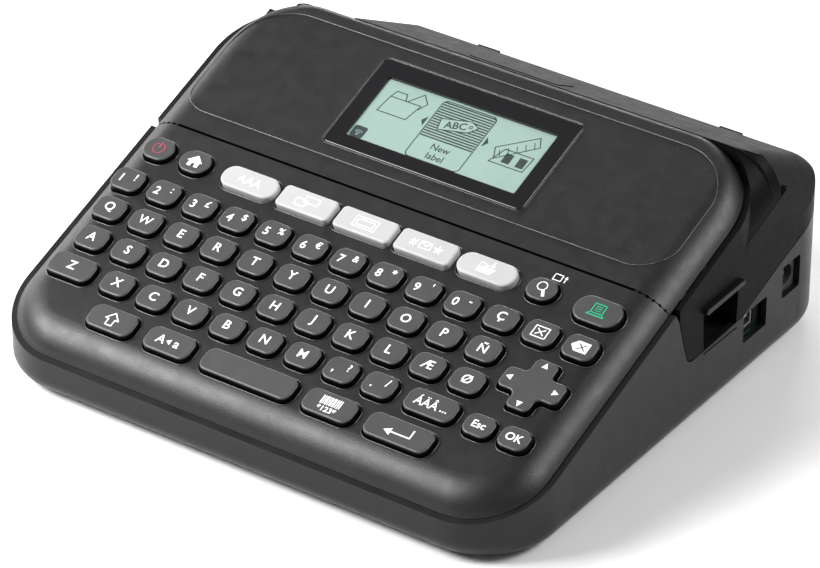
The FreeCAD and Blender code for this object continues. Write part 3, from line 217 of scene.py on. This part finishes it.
def paint_key_side_shade(name):
    """Paint shade on a key's sides: the material turns black, with its reflection turned down, on
    the faces that don't lie along the deck.
    """
    material = MAT[name]
    tree = material.node_tree
    shader = tree.nodes["Principled BSDF"]
    place = tree.nodes.new("ShaderNodeTexCoord")
    lean = tree.nodes.new("ShaderNodeVectorMath")
    lean.operation = "DOT_PRODUCT"
    lean.inputs[1].default_value = (0, -math.sin(TILT), math.cos(TILT))
    tree.links.new(place.outputs["Normal"], lean.inputs[0])
    mix = tree.nodes.new("ShaderNodeMix")
    mix.data_type = "RGBA"
    mix.inputs["A"].default_value = SIDE_SHADE_BLACK
    top = shader.inputs["Base Color"].links[0].from_socket
    tree.links.new(top, mix.inputs["B"])
    tree.links.new(spread(tree, lean.outputs["Value"], 0, 1, 0.35, 0.75), mix.inputs["Factor"])
    tree.links.new(mix.outputs["Result"], shader.inputs["Base Color"])
    # Lower reflection on the sides keeps the painted shade black.
    gloss = spread(tree, lean.outputs["Value"], 0.08, 0.42, 0.3, 0.6)
    tree.links.new(gloss, shader.inputs["Specular IOR Level"])


paint_key_side_shade("key_black")


def dress_nodes():
    """Give every CAD node its special finish, the cover's painted-shade black, or the material of
    its slot.
    """
    slots = {row["node"]: row["material_slot"] for row in frame["record"]["subparts"]}
    for name, thing in NODES.items():
        thing.data.materials.clear()
        thing.data.materials.append(MAT[FINISH_AND_SHADE.get(name, slots[name])])


dress_nodes()


# ---------------------------------------------------------------- mesh helpers

def add_piece(name, mesh_data, material, body):
    """Make a piece from a bmesh, give it a material and let it ride on a body."""
    mesh = bpy.data.meshes.new(name)
    bmesh.ops.recalc_face_normals(mesh_data, faces=mesh_data.faces)
    mesh_data.to_mesh(mesh)
    mesh_data.free()
    mesh.materials.append(MAT[material])
    piece = bpy.data.objects.new(name, mesh)
    bpy.context.scene.collection.objects.link(piece)
    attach(piece, body)
    return piece


def prism(bm, points, low, high, place=DECK):
    """Closed prism over a flat outline, from one level to another."""
    floor = [bm.verts.new(place @ Vector((x, y, low))) for x, y in points]
    roof = [bm.verts.new(place @ Vector((x, y, high))) for x, y in points]
    bm.faces.new(roof)
    bm.faces.new(list(reversed(floor)))
    count = len(points)
    for i in range(count):
        j = (i + 1) % count
        bm.faces.new((floor[i], floor[j], roof[j], roof[i]))


def stroke(bm, points, width, low, high, closed=False, place=DECK):
    """Line of a given width through points, as one prism for each run."""
    pairs = list(zip(points, points[1:]))
    if closed:
        pairs.append((points[-1], points[0]))
    for start, end in pairs:
        a, b = Vector(start), Vector(end)
        along = (b - a).normalized()
        side = Vector((-along.y, along.x)) * width / 2
        tip = along * width * 0.4
        corners = (a - tip + side, a - tip - side, b + tip - side, b + tip + side)
        prism(bm, [(p.x, p.y) for p in corners], low, high, place)


def arc_points(cx, cy, radius, start, end, steps=12):
    """Points on an arc, angles in degrees."""
    angles = [math.radians(start + (end - start) * i / steps) for i in range(steps + 1)]
    return [(cx + radius * math.cos(a), cy + radius * math.sin(a)) for a in angles]


def rounded_path(corners, steps=6):
    """Closed path through corners (x, y, radius) with each corner rounded."""
    path = []
    count = len(corners)
    for i, (x, y, radius) in enumerate(corners):
        here = Vector((x, y))
        back = (Vector(corners[i - 1][:2]) - here).normalized()
        ahead = (Vector(corners[(i + 1) % count][:2]) - here).normalized()
        if radius <= 0:
            path.append((x, y))
            continue
        half = back.angle(ahead) / 2
        centre = here + (back + ahead).normalized() * radius / math.sin(half)
        start = here + back * radius / math.tan(half) - centre
        end = here + ahead * radius / math.tan(half) - centre
        turn = start.angle_signed(end)
        for k in range(steps + 1):
            spot = centre + Matrix.Rotation(-turn * k / steps, 2) @ start
            path.append((spot.x, spot.y))
    return path


def box_path(x0, x1, y0, y1, radius, steps=6):
    """Rounded rectangle."""
    return rounded_path([(x0, y0, radius), (x1, y0, radius), (x1, y1, radius),
                         (x0, y1, radius)], steps)


CROWN, CROWN_CENTRE = 13 * MM, 81.05 * MM


def crown_drop(x):
    """How far the deck's top has fallen at a distance from its middle."""
    over = min(max(0.0, abs(x) - CROWN_CENTRE), CROWN)
    return CROWN - math.sqrt(CROWN * CROWN - over * over)


def ridge_ring(bm, path, base, height, width, place=DECK, sides=6):
    """Low rounded bead that follows a closed path."""
    rings = []
    count = len(path)
    for i in range(count):
        before, after = Vector(path[i - 1]), Vector(path[(i + 1) % count])
        along = (after - before).normalized()
        out = Vector((along.y, -along.x))
        row = []
        for k in range(sides + 1):
            angle = math.pi * k / sides
            spot = Vector(path[i]) + out * math.cos(angle) * width / 2
            level = base - crown_drop(path[i][0]) + math.sin(angle) * height
            row.append(bm.verts.new(place @ Vector((spot.x, spot.y, level))))
        rings.append(row)
    for i in range(count):
        j = (i + 1) % count
        for k in range(sides):
            bm.faces.new((rings[i][k], rings[j][k], rings[j][k + 1], rings[i][k + 1]))
        bm.faces.new((rings[i][sides], rings[j][sides], rings[j][0], rings[i][0]))


def add_text(bm, text, x, y, size, low, thick=0.03 * MM, place=DECK, heavy=0.0, wide=1.0):
    """Text whose own middle is at a point, as closed thin letters."""
    curve = bpy.data.curves.new("text", "FONT")
    curve.body, curve.size = text, size
    curve.extrude, curve.offset = thick / 2, heavy
    curve.resolution_u = 3
    holder = bpy.data.objects.new("text", curve)
    bpy.context.scene.collection.objects.link(holder)
    bpy.context.view_layer.update()
    mesh = bpy.data.meshes.new_from_object(holder)
    xs = [v.co.x for v in mesh.vertices]
    ys = [v.co.y for v in mesh.vertices]
    middle = Vector(((min(xs) + max(xs)) / 2, (min(ys) + max(ys)) / 2, 0))
    spot = Matrix.Translation((x, y, low + thick / 2))
    squeeze = Matrix.Diagonal((wide, 1, 1, 1))
    mesh.transform(place @ spot @ squeeze @ Matrix.Translation(-middle))
    bm.from_mesh(mesh)
    bpy.data.objects.remove(holder)
    bpy.data.curves.remove(curve)
    bpy.data.meshes.remove(mesh)


# ---------------------------------------------------------------- key positions

# Faces above this height over the deck's plane belong to the keys' caps, not to their flanges.
CAP_LEVEL = 3.6 * MM


def caps_of(node):
    """Outline (left, right, front, rear) of each cap of a key node, in deck coordinates."""
    mesh = NODES[node].data
    spots = [DECK_BACK @ v.co for v in mesh.vertices]
    spans = []
    for face in mesh.polygons:
        across = [spots[i].x for i in face.vertices]
        if min(spots[i].z for i in face.vertices) > CAP_LEVEL:
            spans.append((min(across), max(across)))
    caps = []
    for left, right in sorted(spans):
        if caps and left < caps[-1][1] + KEY_GAP:
            caps[-1][1] = max(caps[-1][1], right)
        else:
            caps.append([left, right])
    high = [p for p in spots if p.z > CAP_LEVEL]
    front, rear = min(p.y for p in high), max(p.y for p in high)
    return [(left, right, front, rear) for left, right in caps]


ROW_LEGENDS = {
    "digit_keys": ["1!", "2:", "3£", "4$", "5%", "6€", "7&", "8*", "9'", "0-", "Ç"],
    "q_row_keys": list("QWERTYUIOPÑ"),
    "a_row_keys": list("ASDFGHJKLÆØ"),
    "z_row_keys": list("ZXCVBNM") + [",?", "./"],
}
SINGLE_KEYS = ["clear_all_key", "backspace_key", "accent_key", "escape_key", "ok_key",
               "shift_key", "caps_key", "space_key", "symbol_key", "enter_key", "power_key",
               "home_key", "text_size_key", "layout_key", "frame_key", "special_key",
               "file_key", "preview_key", "print_key", "arrow_pad"]
# Corner radii of the caps that differ from the usual one, in millimetres.
USUAL_CORNER = 3
CORNERS = {"power_key": 4.2, "home_key": 4.2, "preview_key": 3.8, "print_key": 4.4,
           "text_size_key": 3.9, "file_key": 3.9, "layout_key": 1.6, "frame_key": 1.6,
           "special_key": 1.6}
# The four-way pad: half width of its arms, radii of its tips and of its inner corners.
ARM, ARM_TIP, ARM_ROOT = 3.9 * MM, 2 * MM, 1.6 * MM


def plus_path(cell, grow):
    """Outline of the four-way pad, grown outwards."""
    left, right, front, rear = cell
    x, y, arm = (left + right) / 2, (front + rear) / 2, ARM + grow
    left, right, front, rear = left - grow, right + grow, front - grow, rear + grow
    return rounded_path([
        (x - arm, front, ARM_TIP), (x + arm, front, ARM_TIP), (x + arm, y - arm, ARM_ROOT),
        (right, y - arm, ARM_TIP), (right, y + arm, ARM_TIP), (x + arm, y + arm, ARM_ROOT),
        (x + arm, rear, ARM_TIP), (x - arm, rear, ARM_TIP), (x - arm, y + arm, ARM_ROOT),
        (left, y + arm, ARM_TIP), (left, y - arm, ARM_TIP), (x - arm, y - arm, ARM_ROOT)])


def cap_path(node, cell, grow):
    """Outline round one cap, grown outwards."""
    if node == "arrow_pad":
        return plus_path(cell, grow)
    left, right, front, rear = cell
    radius = CORNERS.get(node, USUAL_CORNER) * MM + grow
    return box_path(left - grow, right + grow, front - grow, rear + grow, radius)


# ---------------------------------------------------------------- legends

# Print stands just proud of what it is printed on.
INK_BASE, INK_FACE = 0.005 * MM, 0.04 * MM
INK_LOW, INK_HIGH = KEY_TOP + INK_BASE, KEY_TOP + INK_FACE
LETTER, SHIFTED, HEAVY = 4.3 * MM, 3.5 * MM, 0.055 * MM


def letter_rows():
    """White letters, digits and their shifted signs on the letter keys."""
    for node, legends in ROW_LEGENDS.items():
        bm = bmesh.new()
        for cell, legend in zip(caps_of(node), legends):
            x, y = (cell[0] + cell[1]) / 2, (cell[2] + cell[3]) / 2
            if len(legend) == 1:
                heavy = HEAVY * (0.3 if legend in "MW" else 1)
                add_text(bm, legend, x - 0.1 * MM, y + 0.3 * MM, LETTER, INK_LOW, heavy=heavy)
                continue
            main_y = y - (1.3 if legend[0] in ",." else 0.1) * MM
            add_text(bm, legend[0], x - 2.2 * MM, main_y, LETTER * 0.95, INK_LOW, heavy=HEAVY)
            small = SHIFTED * (0.92 if legend[1] in "£$%€&" else 1.05)
            lift = {"'": 2.2, "-": 1.2, "*": 1.8}.get(legend[1], 1.3)
            add_text(bm, legend[1], x + 2.3 * MM, y + lift * MM, small, INK_LOW,
                     heavy=HEAVY * 0.7)
        add_piece("legend_" + node, bm, "print_white", node)


letter_rows()


class Icon:
    """Drawing on a key top: strokes and areas in millimetres round the cap's middle."""

    def __init__(self, node):
        cell = caps_of(node)[0]
        self.node, self.bm = node, bmesh.new()
        self.x, self.y = (cell[0] + cell[1]) / 2, (cell[2] + cell[3]) / 2

    def spots(self, points):
        """Points of the drawing, in deck coordinates."""
        return [(self.x + px * MM, self.y + py * MM) for px, py in points]

    def line(self, points, width=0.4, closed=False):
        """Stroke through points."""
        stroke(self.bm, self.spots(points), width * MM, INK_LOW, INK_HIGH, closed)
        return self

    def area(self, points):
        """Filled outline."""
        prism(self.bm, self.spots(points), INK_LOW, INK_HIGH)
        return self

    def text(self, text, px, py, size, wide=1.0, heavy=HEAVY):
        """Letters round a point."""
        add_text(self.bm, text, self.x + px * MM, self.y + py * MM, size * MM, INK_LOW,
                 heavy=heavy, wide=wide)
        return self

    def done(self, material="print_white", slot="key_black"):
        """Turn the drawing into a piece that rides on its key."""
        return add_piece("legend_" + self.node, self.bm, material, self.node)


def ring(radius, start=0, end=360, cx=0, cy=0, steps=20):
    """Circle or part of one, in millimetres."""
    return arc_points(cx, cy, radius, start, end, steps)


def key_icons():
    """Pictograms of the special keys."""
    Icon("shift_key").line([(0, 2.4), (-2.3, 0), (-1.1, 0), (-1.1, -2.2), (1.1, -2.2), (1.1, 0),
                            (2.3, 0)], 0.38, True).done()
    Icon("caps_key").text("A", -2.9, 0.1, 4.3).text("a", 2.7, -0.3, 4.3) \
        .area([(-1, 0), (0.5, 1), (0.5, -1)]).done()
    Icon("accent_key").text("ÁÄÂ", -1.5, 0.3, 4.1, 0.95, HEAVY * 0.6) \
        .text("...", 4.6, -1, 4, heavy=HEAVY * 0.6).done()
    Icon("escape_key").text("Esc", 0, 0.1, 3.5).done()
    Icon("ok_key").text("OK", 0, 0.1, 3.7).done()
    bars = Icon("symbol_key")
    for left, wide in ((-3.3, 0.5), (-2.5, 0.3), (-1.9, 0.7), (-0.9, 0.3), (-0.3, 0.5),
                       (0.5, 0.9), (1.7, 0.3), (2.3, 0.5), (3.1, 0.3)):
        bars.area([(left, -0.5), (left + wide, -0.5), (left + wide, 2.5), (left, 2.5)])
    bars.text("*123*", 0, -1.9, 2.5, 1.1).done()
    Icon("enter_key").line([(4.2, 1.9), (4.2, -0.9), (-2.6, -0.9)], 0.45) \
        .area([(-4.6, -0.9), (-2.2, 0.4), (-2.2, -2.2)]).done()
    Icon("power_key").line(ring(1.9, 120, 420), 0.3).line([(0, 0.2), (0, 2.4)], 0.3) \
        .done("print_red")
    Icon("home_key").area([(-2.7, -0.2), (0, 2.3), (2.7, -0.2), (1.9, -0.2), (1.9, -2.1),
                           (0.6, -2.1), (0.6, -0.8), (-0.6, -0.8), (-0.6, -2.1), (-1.9, -2.1),
                           (-1.9, -0.2)]).done()
    Icon("preview_key").line(ring(1.5, cx=-0.2, cy=0.9), 0.35) \
        .area([(0.5, -0.7), (1.2, -0.2), (2.3, -2.3), (1.4, -2.7)]).done()
    Icon("clear_all_key").line([(-2.3, -1.9), (2.3, -1.9), (2.3, 1.9), (-2.3, 1.9)], 0.35,
                               True) \
        .line([(-1.2, -1), (1.2, 1)], 0.35).line([(-1.2, 1), (1.2, -1)], 0.35).done()
    Icon("backspace_key").area([(-3, 0), (-1.3, 1.9), (2.8, 1.9), (2.8, -1.9),
                                (-1.3, -1.9)]).done()
    cross = Icon("backspace_key")
    for sign in (-1, 1):
        stroke(cross.bm, cross.spots([(-0.5, -1 * sign), (1.7, 1 * sign)]), 0.4 * MM,
               INK_HIGH, INK_HIGH + 0.02 * MM)
    add_piece("legend_backspace_cross", cross.bm, "key_black", "backspace_key")
    arrows = Icon("arrow_pad")
    for px, py in ((0, 7.2), (0, -7.2), (-7.6, 0), (7.6, 0)):
        far = math.atan2(py, px)
        tips = [(px + 1.25 * math.cos(far + t), py + 1.25 * math.sin(far + t))
                for t in (0, math.radians(125), math.radians(-125))]
        arrows.area(tips)
    arrows.done()
    printer = Icon("print_key")
    printer.line([(-1.9, -1), (1.9, -1), (1.9, 2.3), (-1.9, 2.3)], 0.32, True)
    printer.line([(-2.8, -1.9), (2.8, -1.9)], 0.4).line([(-2.8, -1.9), (-1.9, -1)], 0.3)
    printer.line([(2.8, -1.9), (1.9, -1)], 0.3)
    for level in (-0.1, 0.65, 1.4):
        printer.line([(-1, level), (1, level)], 0.26)
    printer.done("print_green")


key_icons()


def pale_icons():
    """White pictograms on the light grey keys."""
    Icon("text_size_key").text("A", -2.7, 0, 4.2, 0.9, 0).text("A", 0, 0, 4.6, 0.9, 0) \
        .text("A", 2.8, 0, 4.4, 0.9, 0).done("print_soft", "key_grey")
    Icon("layout_key").line([(-3.6, -1.9), (0.2, -1.9), (0.2, 0.6), (-3.6, 0.6)], 0.3, True) \
        .line([(-0.9, -0.3), (3.9, -0.3), (3.9, 2.1), (-0.9, 2.1)], 0.3, True) \
        .area([(-1, -0.4), (0.3, -0.4), (0.3, 0.7), (-1, 0.7)]).done("print_soft", "key_grey")
    Icon("frame_key").line([(-3.9, -1.9), (3.9, -1.9), (3.9, 1.9), (-3.9, 1.9)], 0.25, True) \
        .line([(-2.9, -1), (2.9, -1), (2.9, 1), (-2.9, 1)], 0.25, True) \
        .done("print_soft", "key_grey")
    star = [(4.3 + r * math.sin(math.radians(36 * i)), r * math.cos(math.radians(36 * i)))
            for i, r in enumerate([1.7, 0.7] * 5)]
    Icon("special_key").text("#", -4.2, 0, 4, 1, 0) \
        .line([(-2, -1.2), (1.8, -1.2), (1.8, 1.3), (-2, 1.3)], 0.25, True) \
        .line([(-2, 1.3), (-0.1, -0.2), (1.8, 1.3)], 0.25) \
        .area(star).done("print_soft", "key_grey")
    Icon("file_key").area([(-2.7, -1.9), (1.8, -1.9), (2.9, 0.3), (-1.7, 0.3)]) \
        .line([(-2.7, -1.8), (-2.7, 1.5), (-1.4, 1.5), (-1, 0.9), (0.2, 0.9)], 0.3) \
        .line([(1.4, 2.6), (1.4, 1.3)], 0.35) \
        .area([(0.5, 1.4), (2.3, 1.4), (1.4, 0.5)]).done("print_soft", "key_grey")


pale_icons()


# ---------------------------------------------------------------- deck details

def key_rims():
    """Raised bead round every key's opening, in a lighter black that paints its highlight."""
    bm = bmesh.new()
    for node in list(ROW_LEGENDS) + SINGLE_KEYS:
        for cell in caps_of(node):
            ridge_ring(bm, cap_path(node, cell, KEY_GAP + 0.22 * MM), DECK_TOP - 0.06 * MM,
                       0.3 * MM, 0.5 * MM)
    piece = add_piece("key_rims", bm, "rim_highlight_black", "base")
    for face in piece.data.polygons:
        face.use_smooth = True


def inlay_edges():
    """Fine polished beads round the display panel and the display's frame, in a lighter black
    that paints their highlight.
    """
    panel = [DECK_BACK @ v.co for v in NODES["display_inlay"].data.vertices]
    left, right = min(p.x for p in panel), max(p.x for p in panel)
    front, rear = min(p.y for p in panel), max(p.y for p in panel)
    bm = bmesh.new()
    path = rounded_path([(left, front, 10 * MM), (right, front, 12 * MM),
                         (right, rear, 18 * MM), (left, rear, 20 * MM)], 24)
    ridge_ring(bm, path, DECK_TOP - 0.05 * MM, 0.24 * MM, 0.42 * MM)
    lens = [DECK_BACK @ v.co for v in NODES["display_window"].data.vertices]
    left, right = min(p.x for p in lens), max(p.x for p in lens)
    front, rear = min(p.y for p in lens), max(p.y for p in lens)
    grow = 0.28 * MM
    path = box_path(left - grow, right + grow, front - grow, rear + grow, 2.3 * MM, 10)
    ridge_ring(bm, path, DECK_TOP - 0.05 * MM, 0.30 * MM, 0.45 * MM)
    piece = add_piece("inlay_edges", bm, "rim_highlight_black", "base")
    for face in piece.data.polygons:
        face.use_smooth = True


# Joint between the keyboard deck and the display deck: place up the slope, half width, depth.
SPLIT, SPLIT_HALF, SPLIT_DEEP = 89.8 * MM, 0.42 * MM, 0.3 * MM


def deck_seam():
    """Joint between the keyboard deck and the display deck, over the crown: a real joint, drawn
    as a black strip of painted shade.
    """
    spots = [(-(CROWN_CENTRE + CROWN * math.sin(a)), a) for a in
             [math.radians(80 - 10 * i) for i in range(8)]]
    xs = [x for x, _ in spots] + [-CROWN_CENTRE, 0, CROWN_CENTRE] + [-x for x, _ in spots[::-1]]
    bm = bmesh.new()
    rows = []
    for x in xs:
        level = DECK_TOP - crown_drop(x) + 0.02 * MM
        rows.append([bm.verts.new(DECK @ Vector((x, SPLIT + side * SPLIT_HALF, level + lift)))
                     for side, lift in ((-1, -SPLIT_DEEP), (-1, 0), (1, 0), (1, -SPLIT_DEEP))])
    for a, b in zip(rows, rows[1:]):
        for k in range(4):
            bm.faces.new((a[k], b[k], b[(k + 1) % 4], a[(k + 1) % 4]))
    bm.faces.new(rows[0])
    bm.faces.new(rows[-1])
    add_piece("deck_seam", bm, "seam_shade_black", "base")


key_rims()
inlay_edges()
deck_seam()


def lcd_graphics():
    """Menu shown on the display: folder, label card, tapes, arrows and a status mark."""
    glass = [DECK_BACK @ v.co for v in NODES["lcd_module"].data.vertices]
    top = max(p.z for p in glass)
    face = [p for p in glass if p.z > top - 0.2 * MM]
    left, right = min(p.x for p in face), max(p.x for p in face)
    front, rear = min(p.y for p in face), max(p.y for p in face)
    wide, deep = right - left, rear - front
    low, high = top + 0.005 * MM, top + 0.03 * MM
    line = 0.32 * MM

    def at(points):
        """Shares of the glass's width and depth, from its rear left, as deck coordinates."""
        return [(left + u * wide, rear - w * deep) for u, w in points]
    bm = bmesh.new()

    # folder with a sheet coming out
    stroke(bm, at([(0.055, 0.50), (0.225, 0.50), (0.25, 0.24), (0.07, 0.24)]), line, low, high,
           True)
    stroke(bm, at([(0.07, 0.24), (0.085, 0.14), (0.145, 0.14), (0.16, 0.24)]), line, low, high)
    stroke(bm, at([(0.17, 0.24), (0.23, 0.06), (0.275, 0.18), (0.25, 0.3)]), line, low, high)
    # label card
    card = rounded_path([(*at([(0.342, 0.98)])[0], 1.6 * MM), (*at([(0.658, 0.98)])[0], 1.6 * MM),
                         (*at([(0.658, 0.035)])[0], 1.6 * MM),
                         (*at([(0.342, 0.035)])[0], 1.6 * MM)])
    stroke(bm, card, line, low, high, True)
    for row in range(15):
        level = 0.06 + row * 0.04
        stroke(bm, at([(0.35, level), (0.65, level)]), 0.5 * MM, low, high)
    # arrows beside the card
    prism(bm, at([(0.325, 0.34), (0.302, 0.42), (0.325, 0.50)]), low, high)
    prism(bm, at([(0.675, 0.34), (0.698, 0.42), (0.675, 0.50)]), low, high)
    # two strips of tape
    stroke(bm, at([(0.745, 0.44), (0.925, 0.10), (0.955, 0.24), (0.775, 0.60)]), line, low,
           high, True)
    for step in range(5):
        u = 0.775 + step * 0.035
        stroke(bm, at([(u, 0.46 - step * 0.065), (u + 0.018, 0.54 - step * 0.065)]), line * 0.8,
               low, high)
    stroke(bm, at([(0.76, 0.66), (0.955, 0.66), (0.965, 0.42), (0.80, 0.42)]), line, low, high,
           True)
    for u in (0.82, 0.90):
        prism(bm, at([(u, 0.62), (u + 0.045, 0.62), (u + 0.045, 0.47), (u, 0.47)]), low, high)
    # status mark
    x0, y0 = at([(0.012, 0.985)])[0]
    x1, y1 = at([(0.088, 0.80)])[0]
    prism(bm, box_path(x0, x1, y0, y1, 0.8 * MM), low, high)
    for text, w in (("New", 0.735), ("label", 0.88)):
        x, y = at([(0.5, w)])[0]
        add_text(bm, text, x, y, 3.4 * MM, low, 0.025 * MM, heavy=0.02 * MM)
    add_piece("lcd_menu", bm, "lcd_ink", "base")
    # pale tag on the card, with letters
    tag = bmesh.new()
    x, y = at([(0.5, 0.33)])[0]
    turn = Matrix.Translation((x, y, 0)) @ Matrix.Rotation(math.radians(14), 4, "Z")
    shape = [(-6.2, -2.2), (3.6, -2.2), (6.4, 0), (3.6, 2.2), (-6.2, 2.2)]
    shape = [(px * MM, py * MM) for px, py in shape]
    film = 0.02 * MM
    prism(tag, shape, high, high + film, DECK @ turn)
    add_piece("lcd_tag", tag, "lcd_pale", "base")
    ink = bmesh.new()
    over = high + 0.025 * MM
    stroke(ink, shape, line, over, over + film, True, DECK @ turn)
    add_text(ink, "ABC", -1 * MM, 0, 3.7 * MM, over, 0.025 * MM, DECK @ turn, 0.05 * MM)
    hole = arc_points(3.9 * MM, 0, 0.5 * MM, 0, 330, 11)
    stroke(ink, hole, 0.25 * MM, over, over + film, True, DECK @ turn)
    add_piece("lcd_tag_ink", ink, "lcd_ink", "base")
    mark = bmesh.new()
    cx, cy = (x0 + x1) / 2, (y0 + y1) / 2
    for grow in (0.9, 1.6):
        stroke(mark, arc_points(cx, cy - 1 * MM, grow * MM, 45, 135, 6), 0.28 * MM, over,
               over + film)
    prism(mark, arc_points(cx, cy - 1 * MM, 0.35 * MM, 0, 330, 11), over, over + film)
    add_piece("lcd_status_mark", mark, "lcd_pale", "base")


lcd_graphics()


def deck_marks():
    """Small printed mark of a label and an arrow above the preview key."""
    bm = bmesh.new()
    low, high = DECK_TOP + INK_BASE, DECK_TOP + INK_FACE
    cell = caps_of("preview_key")[0]
    x, y = (cell[0] + cell[1]) / 2 + 1.8 * MM, cell[3] + 2.6 * MM
    stroke(bm, [(x - 2 * MM, y - 1.1 * MM), (x + 0.6 * MM, y - 1.1 * MM),
                (x + 0.6 * MM, y + 1.1 * MM), (x - 2 * MM, y + 1.1 * MM)], 0.3 * MM, low, high,
           True)
    stroke(bm, [(x + 1.9 * MM, y - 1 * MM), (x + 1.9 * MM, y + 0.4 * MM)], 0.3 * MM, low, high)
    prism(bm, [(x + 1.3 * MM, y + 0.3 * MM), (x + 2.5 * MM, y + 0.3 * MM),
               (x + 1.9 * MM, y + 1.3 * MM)], low, high)
    add_piece("deck_marks", bm, "print_white", "base")


deck_marks()


def side_details():
    """Right side: brow and lip of the finger recess, plate in the USB opening."""
    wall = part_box("base_shell")[1].x
    side = Matrix.Translation((wall, 0, 0)) @ Matrix(((0, 0, 1, 0), (1, 0, 0, 0), (0, 1, 0, 0),
                                                      (0, 0, 0, 1)))
    bm = bmesh.new()
    brow = [(10.9, 37.0), (10.4, 38.1), (11.2, 38.9), (31.4, 38.9), (31.6, 37.9), (30.9, 37.2)]
    prism(bm, [(y * MM, z * MM) for y, z in brow], -1.6 * MM, 1.7 * MM, side)
    lip = [(12.2, 22.2), (12.2, 22.8), (30.4, 22.4), (30.4, 21.8)]
    prism(bm, [(y * MM, z * MM) for y, z in lip], -1.2 * MM, 0.35 * MM, side)
    edge = add_piece("recess_brow", bm, "case_black", "base")
    bevel = edge.modifiers.new("edge", "BEVEL")
    bevel.width, bevel.segments = 0.45 * MM, 3
    bm = bmesh.new()
    low, high = -3.4 * MM, -2.6 * MM
    for (y0, z0), (y1, z1) in (((34.5, 14.7), (46.9, 16.4)), ((34.5, 20.9), (46.9, 24.1)),
                               ((34.5, 16.4), (35.0, 20.9)), ((43.9, 16.4), (46.9, 20.9))):
        prism(bm, [(y0 * MM, z0 * MM), (y1 * MM, z0 * MM), (y1 * MM, z1 * MM),
                   (y0 * MM, z1 * MM)], low, high, side)
    add_piece("usb_plate", bm, "case_black", "base")


side_details()


# ---------------------------------------------------------------- stage

FLOOR_HALF = 6.0
SKY_STRENGTH = 0.25


def make_stage():
    """Plain pale floor."""
    bm = bmesh.new()
    corners = [bm.verts.new((x * FLOOR_HALF, y * FLOOR_HALF, 0))
               for x, y in ((-1, -1), (1, -1), (1, 1), (-1, 1))]
    bm.faces.new(corners)
    mesh = bpy.data.meshes.new("floor")
    bm.to_mesh(mesh)
    bm.free()
    floor = bpy.data.objects.new("floor", mesh)
    bpy.context.scene.collection.objects.link(floor)
    mesh.materials.append(finish_material("floor_pale", (0.88, 0.88, 0.88), 0.6, vary=0.01))


def area_light(name, spot, target, size, power, size_y=None):
    """Softbox that faces a target."""
    data = bpy.data.lights.new(name, "AREA")
    data.shape = "RECTANGLE"
    data.size, data.size_y = size, size_y or size
    data.energy = power
    lamp = bpy.data.objects.new(name, data)
    bpy.context.scene.collection.objects.link(lamp)
    lamp.location = spot
    aim = Vector(target) - Vector(spot)
    lamp.rotation_euler = aim.to_track_quat("-Z", "Y").to_euler()


def make_lights():
    """Studio light: boxes at the front left and rear right, a back strip, a dim surround."""
    area_light("front_box", (-0.5, -0.42, 0.55), (-0.03, -0.03, 0.03), 0.5, 13, 0.36)
    area_light("rear_box", (0.95, 0.45, 1.0), (0, 0, 0.03), 0.7, 14, 0.5)
    area_light("back_strip", (-0.62, 1.02, 0.58), (0, 0.02, 0.05), 0.7, 6, 0.14)
    area_light("left_box", (-1.3, 0.3, 0.35), (0, 0, 0.04), 0.7, 5, 0.35)
    world = bpy.data.worlds.new("studio")
    bpy.context.scene.world = world
    world.use_nodes = True
    sky = world.node_tree.nodes["Background"]
    sky.inputs["Color"].default_value = (1, 1, 1, 1)
    sky.inputs["Strength"].default_value = SKY_STRENGTH


make_stage()
make_lights()
bpy.context.scene.view_settings.view_transform = "Standard"
